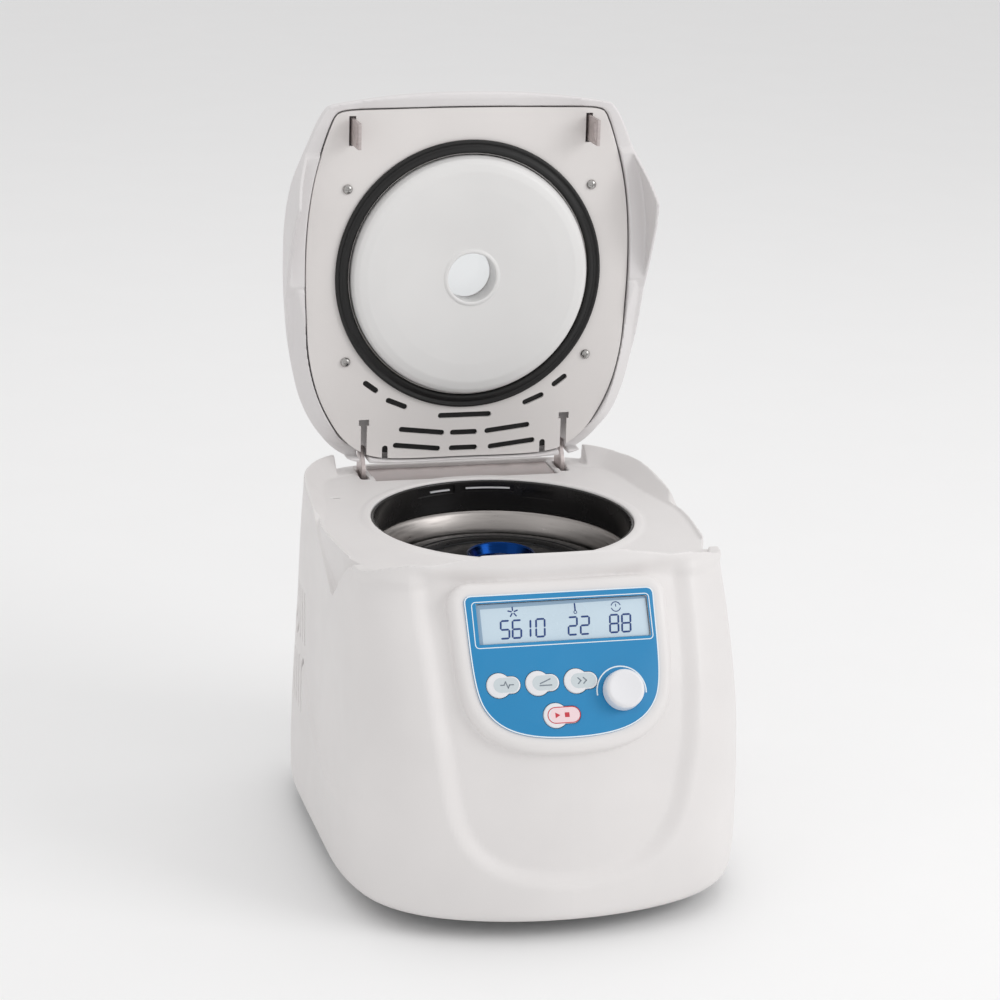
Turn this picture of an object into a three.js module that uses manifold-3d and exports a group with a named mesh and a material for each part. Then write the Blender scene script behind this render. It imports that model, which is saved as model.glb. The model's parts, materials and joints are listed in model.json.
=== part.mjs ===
// Benchtop micro-centrifuge with its lid standing open.
// Units are millimetres, +Z is up and the front faces -Y. Shapes are drawn in the deck frame, whose
// origin is where the rotor axis meets the deck; one group then moves them to the part's own frame,
// whose origin lies on the bench under the middle of the machine.
import * as THREE from "three";
import { mergeVertices } from "three/addons/utils/BufferGeometryUtils.js";
import Module from "manifold-3d";

const wasm = await Module();
wasm.setup();

// ---------------------------------------------------------------- driving dimensions
const BODY_REAR = 149; // rear wall, behind the rotor axis
const BODY_FRONT = 217; // foremost point, in front of the rotor axis
const PAN_BOTTOM = -222; // underside of the base pan, below the deck
const FOOT_HEIGHT = 14;
const DECK_HEIGHT = FOOT_HEIGHT - PAN_BOTTOM;
const WALL = 3;
const GAP = 0.4; // running gap between neighbouring pieces
const ROUND_SEGMENTS = 36; // facets round the chamber, rotor and gasket
const FACET_TOLERANCE = 0.1; // points closer to their neighbours' surface than this are dropped

const RIM_RADIUS = 96; // chamber mouth
const BOWL_DEPTH = 104;
const COLLAR_DEPTH = 23;

const HINGE_Y = 133.5;
const HINGE_Z = 19.5;
const LID_OPEN_DEG = 90.7;
const LINER_Z = 5.2; // underside of the liner above the deck, lid closed
const LINER_THICK = 2;
const LIP_Z = 2.2;
const ARM_X = 78;
const STRIKER_X = 90;
const STRIKER_Y = -109.5;

const CONSOLE_TILT_DEG = 31; // lean of the control face away from vertical
const CONSOLE_Y = -168;
const CONSOLE_Z = -31;

const ROTOR_RADIUS = 84;
const TUBE_COUNT = 24;

// ---------------------------------------------------------------- materials
const FINISHES = {
  housing: [0xd9d8d5, 0.45, 0],
  lidShell: [0xd6d4d3, 0.45, 0],
  liner: [0xd7d4d0, 0.5, 0],
  disc: [0xdad9d7, 0.35, 0],
  rubber: [0x181818, 0.7, 0],
  steel: [0xb9b7b4, 0.3, 1],
  plate: [0xb0a5a3, 0.4, 1],
  black: [0x1c1d1d, 0.5, 0],
  overlay: [0x3c93c2, 0.35, 0],
  display: [0xbfd6e6, 0.2, 0],
  button: [0xf1f0f2, 0.4, 0],
  anodised: [0x12308f, 0.25, 1],
  rotor: [0x2a2b2c, 0.45, 0.8],
  board: [0x1f5a33, 0.6, 0],
  window: [0xe6edf0, 0.08, 0],
  pan: [0xa9abac, 0.5, 0.7],
};

function finish(kind) {
  const [color, roughness, metalness] = FINISHES[kind];
  return new THREE.MeshStandardMaterial({ color, roughness, metalness });
}

// ---------------------------------------------------------------- solids
function solid(geometry) {
  const bare = geometry.clone();
  bare.deleteAttribute("normal");
  bare.deleteAttribute("uv");
  const merged = mergeVertices(bare, 1e-4);
  const corners = merged.index.array;
  const triangles = [];
  for (let i = 0; i < corners.length; i += 3) {
    const [a, b, c] = corners.slice(i, i + 3);
    if (a !== b && b !== c && c !== a) triangles.push(a, b, c);
  }
  return new wasm.Manifold(
    new wasm.Mesh({
      numProp: 3,
      vertProperties: merged.attributes.position.array,
      triVerts: new Uint32Array(triangles),
    }),
  );
}

function geometryOf(body) {
  const data = body.getMesh();
  const geometry = new THREE.BufferGeometry();
  geometry.setAttribute("position", new THREE.BufferAttribute(data.vertProperties, 3));
  geometry.setIndex(new THREE.BufferAttribute(data.triVerts, 1));
  geometry.computeVertexNormals();
  return geometry;
}

function union(bodies) {
  return bodies.reduce((all, next) => all.add(next));
}

function cut(body, tools) {
  return tools.reduce((rest, tool) => rest.subtract(tool), body);
}

function box(x0, x1, y0, y1, z0, z1) {
  const geometry = new THREE.BoxGeometry(x1 - x0, y1 - y0, z1 - z0);
  return solid(geometry.translate((x0 + x1) / 2, (y0 + y1) / 2, (z0 + z1) / 2));
}

// A cylinder along Z from z0 to z1.
function post(radius, z0, z1, x = 0, y = 0, segments = 20, topRadius = radius) {
  const geometry = new THREE.CylinderGeometry(topRadius, radius, z1 - z0, segments);
  return solid(geometry.rotateX(Math.PI / 2).translate(x, y, (z0 + z1) / 2));
}

// A cylinder along X from x0 to x1.
function pin(radius, x0, x1, y, z, segments = 12) {
  const geometry = new THREE.CylinderGeometry(radius, radius, x1 - x0, segments);
  return solid(geometry.rotateZ(Math.PI / 2).translate((x0 + x1) / 2, y, z));
}

// A [radius, z] profile turned about the Z axis; one that stays off the axis closes on itself.
function turned(profile, segments = ROUND_SEGMENTS) {
  const points = profile.map(([radius, z]) => new THREE.Vector2(radius, z));
  if (points[0].x > 0) points.push(points[0].clone());
  const body = solid(new THREE.LatheGeometry(points, segments).rotateX(Math.PI / 2));
  if (body.volume() > 0) return body;
  return solid(new THREE.LatheGeometry(points.reverse(), segments).rotateX(Math.PI / 2));
}

function shapeOf(points) {
  return new THREE.Shape(points.map(([u, v]) => new THREE.Vector2(u, v)));
}

// A plan outline raised from z0 to z1.
function prismZ(shape, z0, z1, curveSegments = 12) {
  const options = { depth: z1 - z0, bevelEnabled: false, curveSegments };
  return solid(new THREE.ExtrudeGeometry(shape, options).translate(0, 0, z0));
}

// A (y, z) outline drawn out along X from x0 to x1.
function prismX(points, x0, x1) {
  const options = { depth: x1 - x0, bevelEnabled: false };
  const turn = new THREE.Matrix4().makeBasis(
    new THREE.Vector3(0, 1, 0),
    new THREE.Vector3(0, 0, 1),
    new THREE.Vector3(1, 0, 0),
  );
  const geometry = new THREE.ExtrudeGeometry(shapeOf(points), options);
  return solid(geometry.applyMatrix4(turn).translate(x0, 0, 0));
}

// An (x, z) outline drawn out along Y from y0 to y1.
function prismY(shape, y0, y1) {
  const options = { depth: y1 - y0, bevelEnabled: false, curveSegments: 12 };
  const turn = new THREE.Matrix4().makeBasis(
    new THREE.Vector3(1, 0, 0),
    new THREE.Vector3(0, 0, 1),
    new THREE.Vector3(0, -1, 0),
  );
  return solid(new THREE.ExtrudeGeometry(shape, options).applyMatrix4(turn).translate(0, y1, 0));
}

// A closed skin over a stack of rings with equal point counts, lowest first, each anticlockwise from above.
function loft(rings) {
  const count = rings[0].length;
  const last = rings.length - 1;
  const middle = (ring) =>
    ring.reduce((sum, point) => sum.add(point), new THREE.Vector3()).divideScalar(count);
  const points = [...rings.flat(), middle(rings[0]), middle(rings[last])];
  const low = rings.length * count;
  const index = [];
  for (let i = 0; i < count; i++) {
    const j = (i + 1) % count;
    index.push(low, j, i, low + 1, last * count + i, last * count + j);
    for (let level = 0; level < last; level++) {
      const a = level * count;
      const b = a + count;
      index.push(a + i, a + j, b + j, a + i, b + j, b + i);
    }
  }
  const geometry = new THREE.BufferGeometry().setFromPoints(points);
  geometry.setIndex(index);
  return solid(geometry);
}

// A closed plan curve through the right-hand points, front to rear, mirrored to the left.
function mirroredOutline(rightPoints, count) {
  const left = rightPoints
    .filter(([x]) => x > 0)
    .map(([x, y]) => [-x, y])
    .reverse();
  const all = [...rightPoints, ...left].map(([x, y]) => new THREE.Vector3(x, y, 0));
  return new THREE.CatmullRomCurve3(all, true, "centripetal").getSpacedPoints(count).slice(0, count);
}

function planShape(points) {
  return new THREE.Shape(points.map((point) => new THREE.Vector2(point.x, point.y)));
}

// Moves each point of a plan ring sideways along its outward normal.
function offsetRing(points, distance, z = 0) {
  const count = points.length;
  return points.map((point, i) => {
    const before = points[(i + count - 1) % count];
    const after = points[(i + 1) % count];
    const normal = new THREE.Vector3(after.y - before.y, before.x - after.x, 0).normalize();
    const reach = typeof distance === "function" ? distance(point) : distance;
    return new THREE.Vector3(point.x + normal.x * reach, point.y + normal.y * reach, z);
  });
}

function roundedRect(x0, x1, y0, y1, radius) {
  const shape = new THREE.Shape();
  shape.absarc(x1 - radius, y0 + radius, radius, -Math.PI / 2, 0);
  shape.absarc(x1 - radius, y1 - radius, radius, 0, Math.PI / 2);
  shape.absarc(x0 + radius, y1 - radius, radius, Math.PI / 2, Math.PI);
  shape.absarc(x0 + radius, y0 + radius, radius, Math.PI, 1.5 * Math.PI);
  return shape;
}

// A slot with round ends from one point to another.
function slot(x0, y0, x1, y1, width) {
  const length = Math.hypot(x1 - x0, y1 - y0);
  const shape = roundedRect(-width / 2, length + width / 2, -width / 2, width / 2, width / 2 - 0.01);
  return { shape, angle: Math.atan2(y1 - y0, x1 - x0), x: x0, y: y0 };
}

function slotCutter({ shape, angle, x, y }, z0, z1) {
  const options = { depth: z1 - z0, bevelEnabled: false, curveSegments: 4 };
  return solid(new THREE.ExtrudeGeometry(shape, options).rotateZ(angle).translate(x, y, z0));
}

// ---------------------------------------------------------------- scene graph
const part = new THREE.Group();
const deckFrame = new THREE.Group();
deckFrame.position.set(0, (BODY_FRONT - BODY_REAR) / 2, DECK_HEIGHT);
part.add(deckFrame);

// The lid's pieces are drawn closed and stand open about the hinge.
const lidFrame = new THREE.Group();
lidFrame.position.set(0, HINGE_Y, HINGE_Z);
lidFrame.rotation.x = THREE.MathUtils.degToRad(-LID_OPEN_DEG);
deckFrame.add(lidFrame);
const lidDrawing = new THREE.Group();
lidDrawing.position.set(0, -HINGE_Y, -HINGE_Z);
lidFrame.add(lidDrawing);

// The console's pieces are drawn flat: X to the right, Y up the slope and Z out of the face.
const consoleFrame = new THREE.Group();
consoleFrame.position.set(0, CONSOLE_Y, CONSOLE_Z);
consoleFrame.rotation.x = THREE.MathUtils.degToRad(90 - CONSOLE_TILT_DEG);
deckFrame.add(consoleFrame);
consoleFrame.updateMatrix();

function add(parent, name, body, kind) {
  const mesh = new THREE.Mesh(geometryOf(body.simplify(FACET_TOLERANCE)), finish(kind));
  mesh.name = name;
  parent.add(mesh);
  return mesh;
}

// Turns a solid drawn on the console into the deck frame.
function fromConsole(body) {
  return solid(geometryOf(body).applyMatrix4(consoleFrame.matrix));
}

// ---------------------------------------------------------------- housing
// Plan section at each height: half width, depth of the front corners and bow of the front wall.
const SECTIONS = [
  { z: -222, half: 139.5, corner: 154, bow: 42 },
  { z: -216, half: 142.5, corner: 158, bow: 39 },
  { z: -185, half: 143, corner: 162, bow: 34 },
  { z: -140, half: 142, corner: 163, bow: 29 },
  { z: -98, half: 140, corner: 163, bow: 24 },
  { z: -60, half: 139, corner: 146, bow: 26 },
  { z: -30, half: 138, corner: 126, bow: 28 },
  { z: -10, half: 137, corner: 108, bow: 28 },
  { z: 4, half: 136, corner: 104, bow: 22 },
  { z: 20, half: 135.5, corner: 101, bow: 22 },
];
const WIDEST_Y = -20;
const FRONT_SQUARENESS = 6;
const REAR_SQUARENESS = 4;
const HOUSING_POINTS = 48;

function sectionOutline({ half, corner, bow }) {
  const dense = 720;
  const points = [];
  for (let i = 0; i < dense; i++) {
    const angle = Math.PI / 2 + (2 * Math.PI * i) / dense;
    const c = Math.cos(angle);
    const s = Math.sin(angle);
    const front = s < 0;
    const power = 2 / (front ? FRONT_SQUARENESS : REAR_SQUARENESS);
    const x = half * Math.sign(c) * Math.abs(c) ** power;
    const reach = front ? corner : BODY_REAR - WIDEST_Y;
    const bulge = front ? bow * (1 - (x / half) ** 2) : 0;
    points.push(new THREE.Vector3(x, WIDEST_Y + reach * Math.sign(s) * Math.abs(s) ** power - bulge, 0));
  }
  points.push(points[0].clone());
  return points;
}

// Points spread evenly along a section, starting at the middle of the rear wall.
function housingRing(section, z = section.z, rearward = 0) {
  const dense = sectionOutline(section);
  const lengths = [0];
  dense.slice(1).forEach((point, i) => lengths.push(lengths[i] + point.distanceTo(dense[i])));
  const total = lengths[lengths.length - 1];
  const ring = [];
  let k = 0;
  for (let i = 0; i < HOUSING_POINTS; i++) {
    const target = (total * i) / HOUSING_POINTS;
    while (lengths[k + 1] < target) k++;
    const share = (target - lengths[k]) / (lengths[k + 1] - lengths[k]);
    const point = dense[k].clone().lerp(dense[k + 1], share);
    ring.push(point.setZ(z).setY(point.y + rearward));
  }
  return ring;
}

// Depth of the shield-shaped recess in the front wall at each section's height.
function shieldDepth(z) {
  return THREE.MathUtils.clamp((9 - z) / 5, 0.2, 7);
}

const outerBody = loft(SECTIONS.map((section) => housingRing(section)));

// The front wall carries the console recess, and the top of the side walls the rebates for the lid.
// Both are thicker than the rest.
const THICK_WALL = 10.5;
const THIN_WALL_FRONT = -60;
const THIN_WALL_TOP = -35;

function wallThickness(point) {
  return point.y < THIN_WALL_FRONT || point.z > THIN_WALL_TOP ? THICK_WALL : WALL;
}

// The hollow inside, open at the bottom and ending under the deck.
function housingHollow() {
  const rings = SECTIONS.filter(({ z }) => z <= -10).map((section) => {
    return offsetRing(housingRing(section), (point) => -wallThickness(point), section.z);
  });
  rings[0].forEach((point) => point.setZ(PAN_BOTTOM - 1));
  const roof = rings[rings.length - 1].map((point) => new THREE.Vector3(point.x, point.y, -WALL - 1));
  return loft([...rings, roof]);
}

// The side rims are low at the front, high at the rear and climb to a brow over the console.
const SIDE_PROFILE = [
  [-230, 17.6],
  [-140, 17.6],
  [-137, 15.5],
  [-133, 12],
  [-127, 8.6],
  [-118, 5.6],
  [-107, 3.7],
  [-25, 3.7],
  [0, 5.2],
  [20, 6.6],
  [48, 9.4],
  [75, 12],
  [95, 13],
  [170, 13],
];

// The brow sags a little on each side before it rises to the front corners.
const BROW_SAG = [
  [52, 18],
  [84, 12.4],
  [98, 12.4],
  [106, 16],
  [106, 40],
  [52, 40],
];

function aboveRims() {
  const rims = prismX([...SIDE_PROFILE, [170, 60], [-230, 60]], -160, 160);
  const right = prismY(new THREE.Shape(BROW_SAG.map(([x, z]) => new THREE.Vector2(x, z))), -240, -122);
  return union([rims, right, right.mirror([1, 0, 0])]);
}

// Foot of the recess that holds the lid, right half from front to rear.
const RECESS_FOOT = [
  [0, -138.6],
  [30, -138.0],
  [60, -136.2],
  [90, -131.9],
  [106, -128.9],
  [113, -124],
  [119, -114],
  [123.5, -102],
  [126.3, -88],
  [128.3, -70],
  [130.3, -50],
  [132.4, -25],
  [132.2, 0],
  [127.4, 22],
  [121.8, 45],
  [118, 70],
  [114.5, 92],
  [107, 110],
  [92, 119],
  [60, 121],
  [0, 121],
];
const recessFoot = mirroredOutline(RECESS_FOOT, 60);

// How far the wall of the recess leans out for each millimetre of its height, along the sides.
const RECESS_SLOPE = [
  [-110, 0.04],
  [-50, 0.46],
  [20, 1.2],
  [60, 1.2],
  [92, 1],
];

function recessSlope({ y }) {
  const next = RECESS_SLOPE.findIndex(([place]) => place > y);
  if (next === 0) return RECESS_SLOPE[0][1];
  if (next < 0) return RECESS_SLOPE[RECESS_SLOPE.length - 1][1];
  const [from, low] = RECESS_SLOPE[next - 1];
  const [to, high] = RECESS_SLOPE[next];
  return THREE.MathUtils.mapLinear(y, from, to, low, high);
}

function recess() {
  const rings = [0, 2, 8, 20].map((z) => offsetRing(recessFoot, (point) => z * recessSlope(point), z));
  return loft(rings);
}

// Widest outline of the lid, right half from front to rear.
const LID_OUTLINE = [
  [0, -137],
  [30, -136.5],
  [55, -135],
  [80, -132.3],
  [98, -129.6],
  [107, -127.6],
  [111.5, -123],
  [117, -113],
  [122.5, -100],
  [128.4, -86],
  [133.6, -72],
  [137, -56],
  [138.9, -38],
  [139.4, -18],
  [139.2, 2],
  [137.8, 26],
  [135.6, 48],
  [131.4, 72],
  [126.4, 92],
  [119.5, 108],
  [111, 121],
  [102, 131.5],
  [91, 139],
  [78, 142.4],
  [0, 143.4],
];
const lidOutline = mirroredOutline(LID_OUTLINE, 60);
const SKIRT_THICK = 3;

// The V-shaped rebates that the lid's side skirts hang in.
const SKIRT_TIP_Y = -58;
const SKIRT_TIP_Z = -29;
const SKIRT_FRONT_Y = -94;
const SKIRT_REAR_Y = 14;
const REBATE_OUTLINE = [
  [SKIRT_FRONT_Y - 4, 5],
  [SKIRT_TIP_Y - 3.5, SKIRT_TIP_Z - 2],
  [SKIRT_TIP_Y + 3.5, SKIRT_TIP_Z - 2],
  [SKIRT_REAR_Y + 14, 8],
  [SKIRT_REAR_Y + 14, 40],
  [SKIRT_FRONT_Y - 4, 40],
];

// The rim stays below the closed lid between its skirts, and is left out in front of their tips.
const RIM_GAP_OUTLINE = [
  [SKIRT_FRONT_Y - 4, 0],
  [-72, 0],
  [-72, 1.7],
  [7.6, 1.7],
  [SKIRT_REAR_Y, 5.8],
  [SKIRT_REAR_Y, 40],
  [SKIRT_FRONT_Y - 4, 40],
];

function rebates() {
  const bands = prismX(REBATE_OUTLINE, -160, 160);
  const recessWall = loft([-60, 60].map((z) => offsetRing(recessFoot, 2.6, z)));
  const insideSkirt = loft([-60, 60].map((z) => offsetRing(lidOutline, -SKIRT_THICK - 0.5, z)));
  return bands.subtract(recessWall.intersect(insideSkirt)).add(prismX(RIM_GAP_OUTLINE, -160, 160));
}

// Outer contour of the shield on the front wall, as (x, z).
function shieldShape() {
  const shape = new THREE.Shape();
  shape.moveTo(-101, 9);
  shape.bezierCurveTo(-101, -40, -99, -78, -88, -130);
  shape.bezierCurveTo(-83, -165, -70, -197, 0, -199);
  shape.bezierCurveTo(70, -197, 83, -165, 88, -130);
  shape.bezierCurveTo(99, -78, 101, -40, 101, 9);
  return shape;
}

function shieldCutter() {
  const floor = loft(SECTIONS.map((section) => housingRing(section, section.z, shieldDepth(section.z))));
  const block = prismY(shieldShape(), -240, -100);
  return block.subtract(floor);
}

// Outline of the printed control overlay, grown by a margin.
function overlayShape(margin = 0) {
  const top = 30.4 + margin;
  const bottom = -70.6 - margin;
  const half = 67 + margin;
  const shape = new THREE.Shape();
  shape.moveTo(-half + 5, top);
  shape.bezierCurveTo(-half + 2, top, -half, top - 2, -half, top - 5);
  shape.bezierCurveTo(-half + 1, -8, -half, -36, -half + 7, -48);
  shape.bezierCurveTo(-half + 15, bottom + 8, -36, bottom, 0, bottom);
  shape.bezierCurveTo(36, bottom, half - 15, bottom + 8, half - 7, -48);
  shape.bezierCurveTo(half, -36, half - 1, -8, half, top - 5);
  shape.bezierCurveTo(half, top - 2, half - 2, top, half - 5, top);
  return shape;
}

const BUTTONS = [
  { name: "pulse_button", x: -48.7, y: -32.2, pill: 15 },
  { name: "door_button", x: -21.6, y: -32.2, pill: 15 },
  { name: "select_button", x: 5.3, y: -32.2, pill: 15 },
  { name: "start_stop_button", x: -11.5, y: -54.9, pill: 17.5 },
];
const BUTTON_RADIUS = 8.6;
const PILL_RADIUS = 5.9;
const KNOB = { x: 36.8, y: -40.8, radius: 13.9 };
const DISPLAY = { x0: -58.6, x1: 61.6, y0: -3.4, y1: 24.2 };
const OVERLAY_THICK = 0.9;
const BUTTON_TRAVEL = 0.8;

// A keyhole-shaped key: a round cap with a smaller pill running out to the right.
function keyhole(button, clearance, z0, z1) {
  const cap = post(BUTTON_RADIUS + clearance, z0, z1, button.x, button.y, 24);
  const reach = roundedRect(
    button.x,
    button.x + button.pill + clearance,
    button.y - PILL_RADIUS - clearance,
    button.y + PILL_RADIUS + clearance,
    PILL_RADIUS + clearance - 0.02,
  );
  return cap.add(prismZ(reach, z0, z1, 4));
}

function displayWindow(clearance, z0, z1) {
  const { x0, x1, y0, y1 } = DISPLAY;
  return box(x0 - clearance, x1 + clearance, y0 - clearance, y1 + clearance, z0, z1);
}

function consoleOpenings(z0, z1) {
  return [
    ...BUTTONS.map((button) => keyhole(button, GAP, z0, z1)),
    post(4.2, z0, z1, KNOB.x, KNOB.y),
    displayWindow(GAP, z0, z1),
  ];
}

function consolePad() {
  return fromConsole(prismZ(overlayShape(6.5), -14, 0, 4));
}

// Room behind the console for the display and the control board.
function consoleCavity() {
  return fromConsole(prismZ(overlayShape(-3), -40, -3, 4));
}

// Slanted cooling louvres through both side walls.
const LOUVRE_COUNT = 9;

function louvres() {
  const cutters = [];
  for (let row = 0; row < 2; row++) {
    for (let i = 0; i < LOUVRE_COUNT; i++) {
      const y = 34 + 9.5 * i - 8 * row;
      const z = -62 - 48 * row;
      const lean = 9;
      const outline = [
        [y, z],
        [y - lean, z - 38],
        [y - lean + 3, z - 38],
        [y + 3, z],
      ];
      cutters.push(prismX(outline, -160, 160));
    }
  }
  const core = box(-118, 118, -200, 160, -240, 20);
  return cutters.map((cutter) => cutter.subtract(core));
}

const PANEL_Y = 137.2; // face of the recessed rear panel
const PANEL_HALF = 92;
const PANEL_LOW = -204;
const PANEL_HIGH = -70;
const INLET = { x: -62, z: -150, width: 48.5, height: 27.5 };
const ROCKER = { x: -62, z: -112, width: 28, height: 21 };

function rearOpening() {
  return box(-PANEL_HALF, PANEL_HALF, PANEL_Y - 2.6, 170, PANEL_LOW, PANEL_HIGH);
}

function hingeNotches() {
  return [-1, 1].map((side) => {
    const x = side * ARM_X;
    return box(x - 3.2, x + 3.2, 109.6, BODY_REAR - 4.4, -70, 30);
  });
}

function strikerSlots() {
  return [-1, 1].map((side) => {
    const x = side * STRIKER_X;
    return box(x - 3.2, x + 3.2, STRIKER_Y - 12.5, STRIKER_Y + 12.5, -30, 30);
  });
}

function housing() {
  const shell = cut(outerBody, [housingHollow(), aboveRims(), recess(), rebates(), shieldCutter()]);
  const bead = turned(
    [
      [RIM_RADIUS - 3, -WALL],
      [RIM_RADIUS + 8, -WALL],
      [RIM_RADIUS + 7, 0.4],
      [RIM_RADIUS + 4, 1],
      [RIM_RADIUS, 0.6],
      [RIM_RADIUS - 3, -1],
    ],
  );
  const pocket = box(-71, 71, 118, BODY_REAR - 3, -26, 40);
  const sensor = slotCutter(slot(-112, 66, -108, 66, 3), -10, 10);
  const body = cut(shell.add(bead).add(consolePad()), [
    post(RIM_RADIUS, -20, 20, 0, 0, ROUND_SEGMENTS),
    pocket.subtract(post(RIM_RADIUS + 12, -60, 60)),
    box(-98, 98, 118, BODY_REAR - 4, -1, 40),
    sensor,
    ...hingeNotches(),
    ...strikerSlots(),
    ...louvres(),
    rearOpening(),
    ...consoleOpenings(-30, 10).map(fromConsole),
    consoleCavity(),
    box(-125, 125, -95, 100, -60, -WALL - 0.6),
  ]);
  return body;
}

add(deckFrame, "housing", housing(), "housing");

// ---------------------------------------------------------------- base pan, feet and rear panel
function panOutline(clearance) {
  return offsetRing(housingRing(SECTIONS[0]), (point) => -wallThickness(point) - clearance);
}

function basePan() {
  const tray = prismZ(planShape(panOutline(0.6)), PAN_BOTTOM, PAN_BOTTOM + 12);
  return tray.subtract(prismZ(planShape(panOutline(2.6)), PAN_BOTTOM + 2, PAN_BOTTOM + 20));
}
add(deckFrame, "base_pan", basePan(), "pan");

const FEET = [
  ["foot_front_left", -95, -132],
  ["foot_front_right", 95, -132],
  ["foot_rear_left", -95, 112],
  ["foot_rear_right", 95, 112],
];
for (const [name, x, y] of FEET) {
  const foot = turned(
    [
      [0, -FOOT_HEIGHT],
      [11, -FOOT_HEIGHT],
      [13, -FOOT_HEIGHT + 2],
      [15, -0.4],
      [0, -0.4],
    ],
    24,
  );
  add(deckFrame, name, foot.translate([x, y, PAN_BOTTOM]), "rubber");
}

// A shallow tray that stays inside the curve of the rear wall.
function rearPanel() {
  const half = PANEL_HALF - GAP;
  const low = PANEL_LOW + GAP;
  const high = PANEL_HIGH - GAP;
  const tray = box(-half, half, PANEL_Y - 2, BODY_REAR, low, high);
  const hollow = box(-half + 2, half - 2, PANEL_Y, BODY_REAR + 9, low + 2, high - 2);
  const limit = loft(SECTIONS.map((section) => offsetRing(housingRing(section), -0.5, section.z)));
  const openings = [INLET, ROCKER].map(({ x, z, width, height }) =>
    box(x - width / 2 - GAP, x + width / 2 + GAP, 100, 200, z - height / 2 - GAP, z + height / 2 + GAP),
  );
  for (let i = 0; i < 8; i++) openings.push(box(8 + 9.5 * i, 12.5 + 9.5 * i, 100, 200, -185, -92));
  return cut(tray.subtract(hollow).intersect(limit), openings);
}
add(deckFrame, "rear_panel", rearPanel(), "housing");

function powerInlet() {
  const { x, z, width, height } = INLET;
  const face = PANEL_Y + 1.2;
  const block = box(x - width / 2, x + width / 2, PANEL_Y - 26, PANEL_Y, z - height / 2, z + height / 2);
  const flange = box(
    x - width / 2 - 3,
    x + width / 2 + 3,
    PANEL_Y + GAP,
    face,
    z - height / 2 - 3,
    z + height / 2 + 3,
  );
  const neck = box(x - width / 2, x + width / 2, PANEL_Y - 2, face, z - height / 2, z + height / 2);
  const socket = box(x - 13.5, x + 13.5, PANEL_Y - 16, PANEL_Y + 5, z - 9, z + 9);
  const pins = [-7, 0, 7].map((dx, i) => {
    const dz = i === 1 ? 3 : -2;
    return box(x + dx - 1, x + dx + 1, PANEL_Y - 18, PANEL_Y - 4, z + dz - 2.5, z + dz + 2.5);
  });
  return union([block.add(neck).add(flange).subtract(socket), ...pins]);
}
add(deckFrame, "power_inlet", powerInlet(), "black");

function switchFrame() {
  const { x, z, width, height } = ROCKER;
  const block = box(x - width / 2, x + width / 2, PANEL_Y - 18, PANEL_Y + 1.2, z - height / 2, z + height / 2);
  const flange = box(
    x - width / 2 - 2,
    x + width / 2 + 2,
    PANEL_Y + GAP,
    PANEL_Y + 1.4,
    z - height / 2 - 2,
    z + height / 2 + 2,
  );
  const well = box(
    x - width / 2 + 2,
    x + width / 2 - 2,
    PANEL_Y - 11,
    PANEL_Y + 5,
    z - height / 2 + 2.5,
    z + height / 2 - 2.5,
  );
  return block.add(flange).subtract(well);
}
add(deckFrame, "switch_frame", switchFrame(), "black");

// The rocker pivots about a vertical line inside the frame; at rest its left half stands proud.
const ROCKER_PIVOT_Y = PANEL_Y - 4;
const ROCKER_TILT_DEG = 9;
function powerRocker() {
  const half = ROCKER.width / 2 - 3.2;
  const high = ROCKER.height / 2 - 3.1;
  const outline = [
    [-half, 2.2],
    [-half, 4.6],
    [0, 3.1],
    [half, 4.6],
    [half, 2.2],
    [2.5, -3.5],
    [-2.5, -3.5],
  ];
  const shape = shapeOf(outline.map(([u, v]) => [u, v]).reverse());
  const body = prismZ(shape, -high, high);
  const turn = THREE.MathUtils.degToRad(-ROCKER_TILT_DEG);
  const geometry = geometryOf(body).rotateZ(turn).translate(ROCKER.x, ROCKER_PIVOT_Y, ROCKER.z);
  return solid(geometry);
}
add(deckFrame, "power_rocker", powerRocker(), "black");

// ---------------------------------------------------------------- console
function overlay() {
  const sheet = solid(
    new THREE.ExtrudeGeometry(overlayShape(), {
      depth: OVERLAY_THICK,
      bevelEnabled: false,
      curveSegments: 5,
    }),
  ).translate([0, 0, 0.3]);
  return cut(sheet, consoleOpenings(-1, 3));
}
add(consoleFrame, "control_overlay", overlay(), "overlay");

add(consoleFrame, "display_window", displayWindow(0, -1.6, 0.9), "display");
const displayModule = box(DISPLAY.x0 - 2, DISPLAY.x1 + 1, DISPLAY.y0 - 6, DISPLAY.y1 + 1, -9, -3.4);
add(consoleFrame, "display_module", displayModule, "board");

for (const button of BUTTONS) {
  const cap = keyhole(button, 0, -2, 2.2);
  const stem = post(3, -6.4, -1.5, button.x, button.y, 16);
  add(consoleFrame, button.name, cap.add(stem), "button");
}

function controlKnob() {
  const { radius } = KNOB;
  const body = turned(
    [
      [0, 1.7],
      [radius, 1.7],
      [radius, 10.5],
      [radius - 1.6, 12.2],
      [0, 12.2],
    ],
    32,
  );
  return body.add(post(3.1, -9, 2)).translate([KNOB.x, KNOB.y, 0]);
}
add(consoleFrame, "control_knob", controlKnob(), "button");

function controlBoard() {
  const board = prismZ(overlayShape(-6), -11.6, -10, 4).subtract(box(-80, 80, -11, 60, -20, 0));
  return board.subtract(post(6.4, -20, 0, KNOB.x, KNOB.y));
}
add(consoleFrame, "control_board", controlBoard(), "board");

const encoder = post(6, -19, -9.4, KNOB.x, KNOB.y, 20).add(post(9, -19, -12, KNOB.x, KNOB.y, 20));
add(consoleFrame, "knob_encoder", encoder, "steel");

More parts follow.
